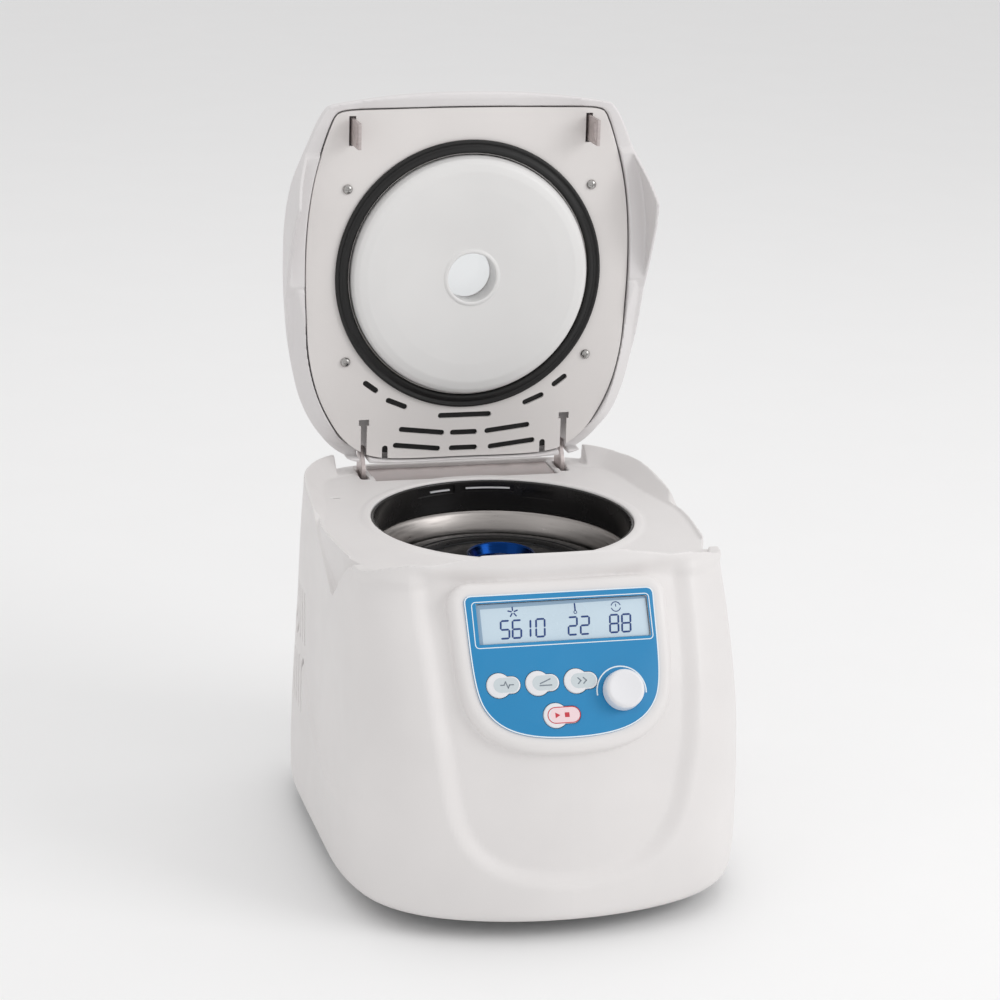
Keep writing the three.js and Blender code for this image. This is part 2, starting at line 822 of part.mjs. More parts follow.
// ---------------------------------------------------------------- chamber
const collar = turned(
  [
    [RIM_RADIUS - 2.6, -COLLAR_DEPTH],
    [RIM_RADIUS - GAP, -COLLAR_DEPTH],
    [RIM_RADIUS - GAP, 0],
    [RIM_RADIUS - 2.6, -0.8],
  ],
);
add(deckFrame, "chamber_collar", collar, "rubber");

const BOWL_TOP = -COLLAR_DEPTH - GAP;
const bowl = turned(
  [
    [14, -BOWL_DEPTH],
    [70, -BOWL_DEPTH],
    [86, -BOWL_DEPTH + 8],
    [92, -BOWL_DEPTH + 24],
    [93, BOWL_TOP - 12],
    [91, BOWL_TOP - 4],
    [93.4, BOWL_TOP],
    [101, BOWL_TOP],
    [101, BOWL_TOP - 1.4],
    [94.8, BOWL_TOP - 2],
    [94.6, BOWL_TOP - 12],
    [93.6, -BOWL_DEPTH + 23.4],
    [87.4, -BOWL_DEPTH + 7],
    [70.8, -BOWL_DEPTH - 1.6],
    [14, -BOWL_DEPTH - 1.6],
  ],
);
add(deckFrame, "chamber_bowl", bowl, "steel");

const ARMOUR_RADIUS = 108;
const armour = turned(
  [
    [ARMOUR_RADIUS - 4, -176],
    [ARMOUR_RADIUS, -176],
    [ARMOUR_RADIUS, -30],
    [ARMOUR_RADIUS - 4, -30],
  ],
);
add(deckFrame, "armour_ring", armour, "steel");

// ---------------------------------------------------------------- drive
const PLATE_Z = -182;
const motorPlate = post(99, PLATE_Z, PLATE_Z + 4, 0, 0, 48).subtract(post(30, PLATE_Z - 5, PLATE_Z + 9));
add(deckFrame, "motor_plate", motorPlate, "steel");

const DAMPER_RADIUS = 76;
for (let i = 0; i < 3; i++) {
  const angle = Math.PI / 2 + (i * 2 * Math.PI) / 3;
  const x = DAMPER_RADIUS * Math.cos(angle);
  const y = DAMPER_RADIUS * Math.sin(angle);
  const damper = turned(
    [
      [0, PAN_BOTTOM + 2.4],
      [12, PAN_BOTTOM + 2.4],
      [9, PAN_BOTTOM + 20],
      [12, PLATE_Z - GAP],
      [0, PLATE_Z - GAP],
    ],
    20,
  );
  add(deckFrame, `motor_damper_${i + 1}`, damper.translate([x, y, 0]), "rubber");
}

const MOTOR_RADIUS = 42;
const motor = turned(
  [
    [7, -206],
    [34, -206],
    [MOTOR_RADIUS, -198],
    [MOTOR_RADIUS, PLATE_Z - 1],
    [28, PLATE_Z - 1],
    [28, PLATE_Z + 4.4],
    [MOTOR_RADIUS, PLATE_Z + 4.4],
    [MOTOR_RADIUS, -124],
    [20, -116],
    [7, -116],
  ],
  24,
);
add(deckFrame, "motor_body", motor, "black");

const shaft = turned(
  [
    [0, -200],
    [6.4, -200],
    [6.4, -100],
    [9, -96],
    [6, -72],
    [3.5, -40],
    [0, -40],
  ],
  24,
);
add(deckFrame, "motor_shaft", shaft, "steel");

const seal = turned(
  [
    [9.8, -BOWL_DEPTH - 8],
    [13.4, -BOWL_DEPTH - 8],
    [13.4, -BOWL_DEPTH + 2],
    [9.8, -BOWL_DEPTH + 2],
  ],
  24,
);
add(deckFrame, "shaft_seal", seal, "rubber");

// ---------------------------------------------------------------- rotor
const ROTOR_LID_Z = -37;
function rotor() {
  const body = turned(
    [
      [9.6, -94],
      [58, -94],
      [ROTOR_RADIUS, -74],
      [ROTOR_RADIUS, ROTOR_LID_Z - 6],
      [ROTOR_RADIUS - 4, ROTOR_LID_Z - 5],
      [60, ROTOR_LID_Z - 14],
      [26, ROTOR_LID_Z - 8],
      [14, ROTOR_LID_Z - 6],
      [6.6, ROTOR_LID_Z - 6],
      [6.8, -71.6],
    ],
  );
  const sockets = [];
  for (let i = 0; i < TUBE_COUNT; i++) {
    const angle = (2 * Math.PI * i) / TUBE_COUNT;
    const bore = new THREE.CylinderGeometry(5.5, 5.5, 34, 6).rotateX(Math.PI / 2);
    bore.translate(0, 0, 4).rotateY(THREE.MathUtils.degToRad(-45)).translate(66, 0, ROTOR_LID_Z - 18);
    sockets.push(solid(bore.rotateZ(angle)));
  }
  return cut(body, sockets);
}
add(deckFrame, "rotor", rotor(), "rotor");

const rotorLid = turned(
  [
    [8, ROTOR_LID_Z - 3],
    [30, ROTOR_LID_Z - 3],
    [ROTOR_RADIUS - 3, ROTOR_LID_Z - 4],
    [ROTOR_RADIUS - 1, ROTOR_LID_Z - 2.5],
    [ROTOR_RADIUS - 2, ROTOR_LID_Z - 1],
    [62, ROTOR_LID_Z + 1.4],
    [58, ROTOR_LID_Z + 0.6],
    [34, ROTOR_LID_Z + 1.6],
    [31, ROTOR_LID_Z - 0.4],
    [8, ROTOR_LID_Z - 0.4],
  ],
);
add(deckFrame, "rotor_lid", rotorLid, "rotor");

function rotorKnob() {
  const body = turned(
    [
      [0, ROTOR_LID_Z],
      [24, ROTOR_LID_Z],
      [25.2, ROTOR_LID_Z + 2],
      [25.2, ROTOR_LID_Z + 12.4],
      [24, ROTOR_LID_Z + 13.2],
      [22.6, ROTOR_LID_Z + 12.4],
      [20, ROTOR_LID_Z + 3.4],
      [9, ROTOR_LID_Z + 3.4],
      [8, ROTOR_LID_Z + 8],
      [0, ROTOR_LID_Z + 8],
    ],
  );
  return body.add(post(7.4, ROTOR_LID_Z - 5, ROTOR_LID_Z + 1));
}
const rotorKnobBody = rotorKnob().subtract(post(4, -60, ROTOR_LID_Z - 2));
add(deckFrame, "rotor_knob", rotorKnobBody, "anodised");

// ---------------------------------------------------------------- lid
// Crest height of the dome along the lid.
function crest(y) {
  return 27.6 - 8.6 * THREE.MathUtils.smoothstep(-y, -60, 137);
}

// Rings from the skirt up to the crest: share of the plan size and share of the dome's rise.
const DOME_STEPS = [
  [1, 0],
  [1, 0.42],
  [0.995, 0.7],
  [0.985, 0.86],
  [0.965, 0.94],
  [0.88, 0.98],
  [0.6, 1],
];
const DOME_FOOT = 3;

function domeRings(points, sink, wall) {
  const centre = new THREE.Vector3(0, 4, 0);
  return DOME_STEPS.map(([size, rise]) =>
    points.map((point) => {
      const plan = centre.clone().lerp(point, size);
      const z = DOME_FOOT + (crest(plan.y) - DOME_FOOT) * rise - (rise > 0.5 ? wall : 0);
      return new THREE.Vector3(plan.x, plan.y, rise === 0 ? sink : z);
    }),
  );
}

// Lower edge of the lid seen from the side.
const LID_EDGE = [
  [-150, LIP_Z],
  [-133, LIP_Z],
  [-126, 4.6],
  [SKIRT_FRONT_Y, 5.4],
  [SKIRT_TIP_Y - 2, SKIRT_TIP_Z],
  [SKIRT_TIP_Y + 2, SKIRT_TIP_Z],
  [SKIRT_REAR_Y, 6.4],
  [40, 10.6],
  [70, 14.2],
  [138.6, 14.4],
  [138.8, LIP_Z],
  [150, LIP_Z],
];

const LINER_OUTLINE = [
  [0, -125.6],
  [60, -125],
  [96, -123.6],
  [101.5, -121.5],
  [105, -115],
  [112, -95],
  [118, -72],
  [122, -45],
  [123.8, -10],
  [123, 25],
  [120.5, 60],
  [114, 88],
  [105, 108],
  [94, 124],
  [80, 135],
  [66, 139.6],
  [0, 141],
];
const linerOutline = mirroredOutline(LINER_OUTLINE, 52);

function armSlots(z0, z1, clearance) {
  return [-1, 1].map((side) => {
    const x = side * ARM_X;
    const head = box(x - 4 - clearance, x + 4 + clearance, 109.6, 114.4, z0, z1);
    const throat = box(x - 2.4 - clearance, x + 2.4 + clearance, 114, 160, z0, z1);
    return head.add(throat);
  });
}

function lidShell() {
  const outer = loft([...domeRings(lidOutline, -45, 0)]);
  const skirtInside = loft([-60, LIP_Z].map((z) => offsetRing(lidOutline, -SKIRT_THICK, z)));
  const lipOpening = prismZ(planShape(offsetRing(linerOutline, 1)), LIP_Z - 1, 9);
  const room = loft(domeRings(offsetRing(lidOutline, -WALL), 8, 2.2));
  const belowEdge = prismX([...LID_EDGE, [150, -80], [-150, -80]].reverse(), -170, 170);
  const lensSeat = turned(
    [
      [0, -10],
      [18.6, -10],
      [18.6, 16],
      [22, 16],
      [27, 40],
      [0, 40],
    ],
    40,
  );
  const boss = post(24, 12, 26, 0, 0, 40);
  const hollow = cut(outer, [skirtInside, belowEdge, lipOpening, room]);
  const rearSlots = [-ARM_X, ARM_X].map((x) => box(x - 3.4, x + 3.4, 133, 160, -20, 24));
  return cut(hollow.add(boss), [lensSeat, ...armSlots(-20, 9, 1), ...rearSlots]);
}
add(lidDrawing, "lid_shell", lidShell(), "lidShell");

const VENTS = [
  [-18.9, 108.6, 18.5, 108.6],
  [-49, 118.3, -17.8, 121.9],
  [-9.2, 122.2, 7.9, 122.2],
  [17.8, 121.9, 49, 118.3],
  [-53.4, 130.6, -20.7, 134.3],
  [-9.8, 134.4, 8.2, 134.4],
  [20.7, 134.3, 53.4, 130.6],
  [-77.3, 81.4, -69.6, 87.1],
  [-59.5, 95.3, -47, 100.5],
  [69.6, 87.1, 77.3, 81.4],
  [47, 100.5, 59.5, 95.3],
];
const VENT_WIDTH = 4.3;
const DISC_RADIUS = 90.4;
const GASKET_INNER = 92.6;
const GASKET_OUTER = 102;
const LID_SCREWS = [
  ["lid_screw_front_left", -93.2, -66.4],
  ["lid_screw_front_right", 93.2, -66.4],
  ["lid_screw_rear_left", -93.2, 64.3],
  ["lid_screw_rear_right", 93.2, 64.3],
];

function lidLiner() {
  const plate = prismZ(planShape(linerOutline), LINER_Z, LINER_Z + LINER_THICK);
  const vents = VENTS.map((ends) => slotCutter(slot(...ends, VENT_WIDTH), 0, 12));
  const notches = [-61.6, 61.6].map((x) => slotCutter(slot(x, 132.6, x, 160, 4.6), 0, 12));
  const strikerSlits = [-1, 1].map((side) => {
    const x = side * STRIKER_X;
    return box(x - 2.6, x + 2.6, STRIKER_Y - 11, STRIKER_Y + 11, 0, 12);
  });
  const screwHoles = LID_SCREWS.map(([, x, y]) => post(2, 0, 12, x, y, 12));
  return cut(plate, [
    post(GASKET_INNER - 1.2, 0, 12, 0, 0, ROUND_SEGMENTS),
    ...vents,
    ...notches,
    ...strikerSlits,
    ...screwHoles,
    ...armSlots(0, 12, 0),
  ]);
}
add(lidDrawing, "lid_liner", lidLiner(), "liner");

const discBody = turned(
  [
    [18.4, -6.6],
    [21, -6.8],
    [22.4, -5.6],
    [40, -6.6],
    [70, -8],
    [84, -6.8],
    [88.6, -4.4],
    [DISC_RADIUS, 0],
    [DISC_RADIUS, 10],
    [DISC_RADIUS - 2.2, 10],
    [DISC_RADIUS - 2.6, 0],
    [84, -4],
    [40, -4],
    [22, -3.4],
    [21, 11.6],
    [18.4, 11.6],
  ],
);
add(lidDrawing, "lid_disc", discBody, "disc");

const gasket = turned(
  [
    [GASKET_INNER - 0.8, LINER_Z - GAP],
    [GASKET_INNER, 2],
    [95.5, 1.6],
    [98, 3.2],
    [100.6, 2],
    [GASKET_OUTER, 3.4],
    [GASKET_OUTER, LINER_Z - GAP],
  ],
);
add(lidDrawing, "lid_gasket", gasket, "rubber");

add(lidDrawing, "lid_window", post(21.4, 16.4, 19.4, 0, 0, 40), "window");

for (const [name, x, y] of LID_SCREWS) {
  const screw = turned(
    [
      [0, 2.8],
      [2.2, 3],
      [3.6, LINER_Z - GAP],
      [1.5, LINER_Z - GAP],
      [1.5, 12],
      [0, 12],
    ],
    12,
  );
  const cross = box(-1.8, 1.8, -0.4, 0.4, 0, 3.8).add(box(-0.4, 0.4, -1.8, 1.8, 0, 3.8));
  add(lidDrawing, name, screw.subtract(cross).translate([x, y, 0]), "steel");
}

// Striker plates that the latch bolts pass through.
const STRIKER_TIP_Z = -20.6;
const STRIKER_HALF = 9.6;
for (const [name, side] of [
  ["striker_left", -1],
  ["striker_right", 1],
]) {
  const x = side * STRIKER_X;
  const y = STRIKER_Y;
  const blade = box(x - 1.2, x + 1.2, y - STRIKER_HALF, y + STRIKER_HALF, STRIKER_TIP_Z, 14);
  const foot = box(x - 8, x + 8, y - STRIKER_HALF, y + STRIKER_HALF, 11.6, 14);
  const slit = box(x - 5, x + 5, y - 6.8, y + 6.8, STRIKER_TIP_Z + 3.2, STRIKER_TIP_Z + 8.6);
  add(lidDrawing, name, blade.add(foot).subtract(slit), "plate");
}

// ---------------------------------------------------------------- hinge
const ARM_THICK = 3;
const ROD_RADIUS = 1.8;
for (const [name, side] of [
  ["hinge_arm_left", -1],
  ["hinge_arm_right", 1],
]) {
  const x = side * ARM_X;
  const outline = [
    [117, -66],
    [137, -66],
    [137, 17],
    [136.4, 21],
    [134, 23],
    [131, 22.6],
    [122, 14],
    [117, 5],
  ];
  const plate = prismX(outline, x - ARM_THICK / 2, x + ARM_THICK / 2);
  add(deckFrame, name, plate.subtract(pin(ROD_RADIUS + GAP, x - 9, x + 9, HINGE_Y, HINGE_Z)), "plate");
}

const ROD_HALF = 84;
const rod = pin(ROD_RADIUS, -ROD_HALF, ROD_HALF, HINGE_Y, HINGE_Z);
add(lidDrawing, "hinge_rod", rod, "steel");

for (const [name, x] of [
  ["hinge_block_left", -66],
  ["hinge_block_right", 66],
]) {
  const block = box(x - 5, x + 5, HINGE_Y - 6, HINGE_Y + 3, 11.4, 21.9);
  add(lidDrawing, name, block.subtract(pin(ROD_RADIUS + GAP, x - 9, x + 9, HINGE_Y, HINGE_Z)), "plate");
}

// ---------------------------------------------------------------- latch
const BOLT_Z = STRIKER_TIP_Z + 5.9;
for (const [name, side] of [
  ["left", -1],
  ["right", 1],
]) {
  const y = STRIKER_Y;
  const spans = (from, to) => (side < 0 ? [-to, -from] : [from, to]);
  const [boltFrom, boltTo] = spans(62, STRIKER_X - 4.2);
  const [caseFrom, caseTo] = spans(52, STRIKER_X - 5.6);
  const bolt = box(boltFrom, boltTo, y - 5.6, y + 5.6, BOLT_Z - 1.8, BOLT_Z + 1.8);
  const tunnel = box(boltFrom - 6, boltTo + 6, y - 6.1, y + 6.1, BOLT_Z - 2.3, BOLT_Z + 2.3);
  const bracket = box(caseFrom, caseTo, y - 10, y + 10, BOLT_Z - 8, BOLT_Z + 6);
  add(deckFrame, `latch_case_${name}`, bracket.subtract(tunnel), "steel");
  add(deckFrame, `latch_bolt_${name}`, bolt, "steel");
}
const latchMotor = box(-22, 22, STRIKER_Y - 10, STRIKER_Y + 8, BOLT_Z - 12, BOLT_Z + 4);
add(deckFrame, "latch_motor", latchMotor, "black");

// ---------------------------------------------------------------- electronics
function driveBoard() {
  const board = box(-118, -114, -90, 80, -205, -120);
  const blocks = [
    box(-114.5, -111, -78, -60, -190, -150),
    box(-114.5, -111, 40, 70, -195, -140),
  ];
  return union([board, ...blocks]);
}
add(deckFrame, "drive_board", driveBoard(), "board");

const supply = box(14, 80, 112, 134, -206, -120);
add(deckFrame, "power_supply", supply, "steel");

export default part;
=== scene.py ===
# Looks of the laboratory centrifuge: smooth moulded shells, turned metal and printed console parts
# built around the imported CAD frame. Shapes are drawn in millimetres in the deck frame, whose origin is
# where the rotor axis meets the deck, and are then carried to the frame's metres.
import json
import math

import bmesh
import bpy
import numpy as np
from mathutils import Matrix, Vector


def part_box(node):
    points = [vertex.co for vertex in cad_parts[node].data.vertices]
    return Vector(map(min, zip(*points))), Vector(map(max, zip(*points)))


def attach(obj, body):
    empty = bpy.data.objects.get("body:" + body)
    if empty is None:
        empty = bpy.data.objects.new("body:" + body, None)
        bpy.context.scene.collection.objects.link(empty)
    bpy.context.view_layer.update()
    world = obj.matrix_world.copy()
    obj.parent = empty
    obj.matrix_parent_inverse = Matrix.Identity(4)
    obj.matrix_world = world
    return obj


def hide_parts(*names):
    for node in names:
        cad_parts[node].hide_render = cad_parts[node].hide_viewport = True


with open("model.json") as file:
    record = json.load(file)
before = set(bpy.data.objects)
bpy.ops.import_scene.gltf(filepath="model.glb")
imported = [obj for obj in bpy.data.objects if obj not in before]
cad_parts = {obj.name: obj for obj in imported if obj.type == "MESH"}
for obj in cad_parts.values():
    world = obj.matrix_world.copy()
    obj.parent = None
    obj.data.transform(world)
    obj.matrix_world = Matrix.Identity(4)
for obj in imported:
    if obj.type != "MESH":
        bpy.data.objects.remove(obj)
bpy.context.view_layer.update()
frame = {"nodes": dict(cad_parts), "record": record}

# ---------------- places taken from the frame
MM = 0.001
JOINTS = {joint["name"]: joint for joint in frame["record"]["behaviour"]["joints"]}
DECK_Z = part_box("chamber_collar")[1][2]
AXIS_Y = (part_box("chamber_bowl")[0][1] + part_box("chamber_bowl")[1][1]) / 2
TO_FRAME = Matrix.Translation((0, AXIS_Y, DECK_Z)) @ Matrix.Scale(MM, 4)

HINGE = Vector(JOINTS["lid_hinge"]["pos_m"])
LID_OPEN = math.radians(JOINTS["lid_hinge"]["range_deg"][1])
LID_TO_FRAME = (
    Matrix.Translation(HINGE) @ Matrix.Rotation(-LID_OPEN, 4, "X") @ Matrix.Translation(-HINGE) @ TO_FRAME
)

CONSOLE_TILT = math.radians(59)
CONSOLE_Y = -168
CONSOLE_Z = -31
CONSOLE_TO_DECK = Matrix.Translation((0, CONSOLE_Y, CONSOLE_Z)) @ Matrix.Rotation(CONSOLE_TILT, 4, "X")
CONSOLE_TO_FRAME = TO_FRAME @ CONSOLE_TO_DECK

BODY_REAR = (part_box("housing")[1][1] - AXIS_Y) / MM
PAN_BOTTOM = (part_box("base_pan")[0][2] - DECK_Z) / MM
VOXEL = 0.0009


# ---------------- mesh tools
def add_object(name, data):
    piece = bpy.data.objects.new(name, data)
    bpy.context.scene.collection.objects.link(piece)
    return piece


def closed_skin(name, vertices, faces, matrix):
    """An object whose faces all look outwards, carried to the frame by the matrix."""
    mesh = bpy.data.meshes.new(name)
    mesh.from_pydata([tuple(matrix @ Vector(v)) for v in vertices], [], faces)
    shape = bmesh.new()
    shape.from_mesh(mesh)
    bmesh.ops.remove_doubles(shape, verts=shape.verts, dist=1e-7)
    bmesh.ops.recalc_face_normals(shape, faces=shape.faces)
    shape.to_mesh(mesh)
    shape.free()
    return add_object(name, mesh)


def loft(name, rings, matrix=TO_FRAME):
    """A closed skin over a stack of rings with equal point counts."""
    count = len(rings[0])
    vertices = [point for ring in rings for point in ring]
    faces = []
    for level in range(len(rings) - 1):
        for i in range(count):
            a = level * count + i
            b = level * count + (i + 1) % count
            faces.append((a, b, b + count, a + count))
    faces.append(tuple(reversed(range(count))))
    faces.append(tuple(range((len(rings) - 1) * count, len(rings) * count)))
    return closed_skin(name, vertices, faces, matrix)


def around(x, y, radius, angle):
    """The plan point at a radius and angle from (x, y)."""
    return (x + radius * math.cos(angle), y + radius * math.sin(angle))


def lathe(name, profile, segments=128, matrix=TO_FRAME, center=(0, 0)):
    """A [radius, z] profile turned about a vertical line."""
    on_axis = profile[0][0] < 1e-6 and profile[-1][0] < 1e-6
    vertices = []
    faces = []
    count = len(profile)
    for i in range(segments):
        angle = 2 * math.pi * i / segments
        for radius, z in profile:
            vertices.append((*around(*center, radius, angle), z))
    last = count - 1 if on_axis else count
    for i in range(segments):
        j = (i + 1) % segments
        for k in range(last):
            m = (k + 1) % count
            faces.append((i * count + k, j * count + k, j * count + m, i * count + m))
    return closed_skin(name, vertices, faces, matrix)


def rounded(points, radius, closed=False, steps=4):
    """Replaces each corner of an outline with a short arc."""
    points = [np.array(point, float) for point in points]
    count = len(points)
    result = []
    for i, point in enumerate(points):
        if not closed and i in (0, count - 1):
            result.append(tuple(point))
            continue
        before = points[i - 1] - point
        after = points[(i + 1) % count] - point
        reach = min(radius, np.linalg.norm(before) * 0.45, np.linalg.norm(after) * 0.45)
        start = point + before / max(np.linalg.norm(before), 1e-9) * reach
        end = point + after / max(np.linalg.norm(after), 1e-9) * reach
        for step in range(steps + 1):
            t = step / steps
            result.append(tuple((1 - t) ** 2 * start + 2 * t * (1 - t) * point + t * t * end))
    return result


def turned(name, profile, radius=0.5, segments=128, matrix=TO_FRAME, center=(0, 0)):
    on_axis = profile[0][0] < 1e-6 and profile[-1][0] < 1e-6
    return lathe(name, rounded(profile, radius, closed=not on_axis), segments, matrix, center)


def drill(name, radius, low, high, segments=160, matrix=TO_FRAME):
    """A plain upright cylinder on the rotor axis, for cutting with."""
    profile = [(0, low), (radius, low), (radius, high), (0, high)]
    return turned(name, profile, 0.01, segments, matrix)


def offset_ring(ring, distance):
    """Moves each point of an anticlockwise plan ring outwards."""
    ring = np.asarray(ring, float)
    along = np.roll(ring, -1, axis=0) - np.roll(ring, 1, axis=0)
    normal = np.stack([along[:, 1], -along[:, 0]], axis=1)
    normal /= np.linalg.norm(normal, axis=1)[:, None]
    reach = np.broadcast_to(np.asarray(distance, float), (len(ring),))
    return ring[:, :2] + normal * reach[:, None]


def at_height(ring, z):
    return [(x, y, z) for x, y in ring]


def prism(name, ring, low, high, matrix=TO_FRAME):
    return loft(name, [at_height(ring, low), at_height(ring, high)], matrix)


def soft_prism(name, ring, low, high, radius, matrix, low_radius=0.0, steps=5):
    """A plan outline raised from low to high, with rounded edges."""
    rings = []
    if low_radius:
        for step in range(steps):
            angle = math.pi / 2 * step / steps
            inset = low_radius * (1 - math.sin(angle))
            rings.append(at_height(offset_ring(ring, -inset), low + low_radius * (1 - math.cos(angle))))
    rings.append(at_height(ring, low + low_radius))
    for step in range(steps + 1):
        angle = math.pi / 2 * step / steps
        inset = radius * (1 - math.cos(angle))
        rings.append(at_height(offset_ring(ring, -inset), high - radius + radius * math.sin(angle)))
    return loft(name, rings, matrix)


def box_ring(x0, x1, y0, y1, radius, steps=4):
    """A rounded rectangle, anticlockwise."""
    ring = []
    corners = [(x1 - radius, y0 + radius, -90), (x1 - radius, y1 - radius, 0)]
    corners += [(x0 + radius, y1 - radius, 90), (x0 + radius, y0 + radius, 180)]
    for cx, cy, start in corners:
        for step in range(steps + 1):
            angle = math.radians(start + 90 * step / steps)
            ring.append(around(cx, cy, radius, angle))
    return ring


def block(name, x0, x1, y0, y1, z0, z1, matrix=TO_FRAME, radius=0.0):
    if radius:
        return soft_prism(name, box_ring(x0, x1, y0, y1, radius), z0, z1, radius * 0.9, matrix, radius * 0.9)
    return prism(name, [(x0, y0), (x1, y0), (x1, y1), (x0, y1)], z0, z1, matrix)


def centred(x, half, *rest):
    """A block for cutting with that reaches equally far to both sides of x."""
    return block("centred", x - half, x + half, *rest)


def prism_x(name, outline, x0, x1, matrix=TO_FRAME):
    """A (y, z) outline drawn out along X."""
    rings = [[(x, y, z) for y, z in outline] for x in (x0, x1)]
    return loft(name, rings, matrix)


def slot_ring(x0, y0, x1, y1, width, steps=8):
    """A slot with round ends, anticlockwise."""
    along = math.atan2(y1 - y0, x1 - x0)
    ring = []
    for cx, cy, start in ((x1, y1, -90), (x0, y0, 90)):
        for step in range(steps + 1):
            angle = along + math.radians(start + 180 * step / steps)
            ring.append(around(cx, cy, width / 2, angle))
    return ring


def smooth_closed(points, count):
    """A centripetal spline through a closed list of plan points, with even spacing."""
    points = np.asarray(points, float)
    dense = []
    total = len(points)
    for i in range(total):
        p0, p1, p2, p3 = (points[(i + k - 1) % total] for k in range(4))
        t = [0.0]
        for a, b in ((p0, p1), (p1, p2), (p2, p3)):
            t.append(t[-1] + max(np.linalg.norm(b - a), 1e-6) ** 0.5)
        for s in np.linspace(t[1], t[2], 24, endpoint=False):
            a1 = (t[1] - s) / (t[1] - t[0]) * p0 + (s - t[0]) / (t[1] - t[0]) * p1
            a2 = (t[2] - s) / (t[2] - t[1]) * p1 + (s - t[1]) / (t[2] - t[1]) * p2
            a3 = (t[3] - s) / (t[3] - t[2]) * p2 + (s - t[2]) / (t[3] - t[2]) * p3
            b1 = (t[2] - s) / (t[2] - t[0]) * a1 + (s - t[0]) / (t[2] - t[0]) * a2
            b2 = (t[3] - s) / (t[3] - t[1]) * a2 + (s - t[1]) / (t[3] - t[1]) * a3
            dense.append((t[2] - s) / (t[2] - t[1]) * b1 + (s - t[1]) / (t[2] - t[1]) * b2)
    return evenly(dense, count)


def evenly(points, count):
    """Points spread evenly along a closed curve."""
    points = np.asarray(list(points) + [points[0]], float)
    lengths = np.concatenate([[0], np.cumsum(np.linalg.norm(np.diff(points, axis=0), axis=1))])
    wanted = np.linspace(0, lengths[-1], count, endpoint=False)
    return np.stack([np.interp(wanted, lengths, points[:, k]) for k in range(points.shape[1])], axis=1)


def flowing(points, steps=8):
    """A line of points with rounded bends."""
    points = np.asarray(points, float)
    padded = np.vstack([2 * points[0] - points[1], points, 2 * points[-1] - points[-2]])
    result = []
    for p0, p1, p2, p3 in zip(padded, padded[1:], padded[2:], padded[3:]):
        reach = np.linalg.norm(p2 - p1)
        before = (p2 - p0) / max(np.linalg.norm(p2 - p0), 1e-9) * reach
        after = (p3 - p1) / max(np.linalg.norm(p3 - p1), 1e-9) * reach
        for t in np.linspace(0, 1, steps, endpoint=False):
            h = (2 * t**3 - 3 * t * t + 1) * p1 + (3 * t * t - 2 * t**3) * p2
            result.append(tuple(h + (t**3 - 2 * t * t + t) * before + (t**3 - t * t) * after))
    result.append(tuple(points[-1]))
    return result


def mirrored(right):
    left = [(-x, y) for x, y in reversed(right) if x > 0]
    return list(right) + left


def combine(piece, others, operation):
    """Cuts, joins or intersects closed pieces, which are used up."""
    for other in others:
        change = piece.modifiers.new("combine", "BOOLEAN")
        change.operation = operation
        change.solver = "MANIFOLD"
        change.object = other
    settle(piece)
    for other in others:
        bpy.data.objects.remove(other)
    return piece


def settle(piece):
    """Makes a piece's modifiers permanent."""
    graph = bpy.context.evaluated_depsgraph_get()
    mesh = bpy.data.meshes.new_from_object(piece.evaluated_get(graph))
    old = piece.data
    piece.modifiers.clear()
    piece.data = mesh
    bpy.data.meshes.remove(old)
    piece.data.name = piece.name


def mould(piece, passes=3):
    """Rounds every edge slightly, as a moulding has it."""
    remesh = piece.modifiers.new("remesh", "REMESH")
    remesh.mode = "VOXEL"
    remesh.voxel_size = VOXEL
    smooth = piece.modifiers.new("smooth", "SMOOTH")
    smooth.factor = 0.5
    smooth.iterations = passes
    thin = piece.modifiers.new("thin", "DECIMATE")
    thin.ratio = 0.4
    settle(piece)
    shade(piece, 60)


def shade(piece, angle=35):
    for polygon in piece.data.polygons:
        polygon.use_smooth = True
    piece.data.set_sharp_from_angle(angle=math.radians(angle))
    return piece


def bevel(piece, width, segments=3, angle=30):
    change = piece.modifiers.new("bevel", "BEVEL")
    change.width = width * MM
    change.segments = segments
    change.limit_method = "ANGLE"
    change.angle_limit = math.radians(angle)
    change.use_clamp_overlap = True
    settle(piece)
    shade(piece, 40)
    even = piece.modifiers.new("even", "WEIGHTED_NORMAL")
    even.keep_sharp = True
    settle(piece)
    return piece


# ---------------- materials
def colour(red, green, blue):
    """A screen colour as linear light."""
    return tuple(((c / 255 + 0.055) / 1.055) ** 2.4 if c > 10 else c / 3294 for c in (red, green, blue))


def set_inputs(node, **values):
    for key, value in values.items():
        node.inputs[key.replace("_", " ")].default_value = value
    return node


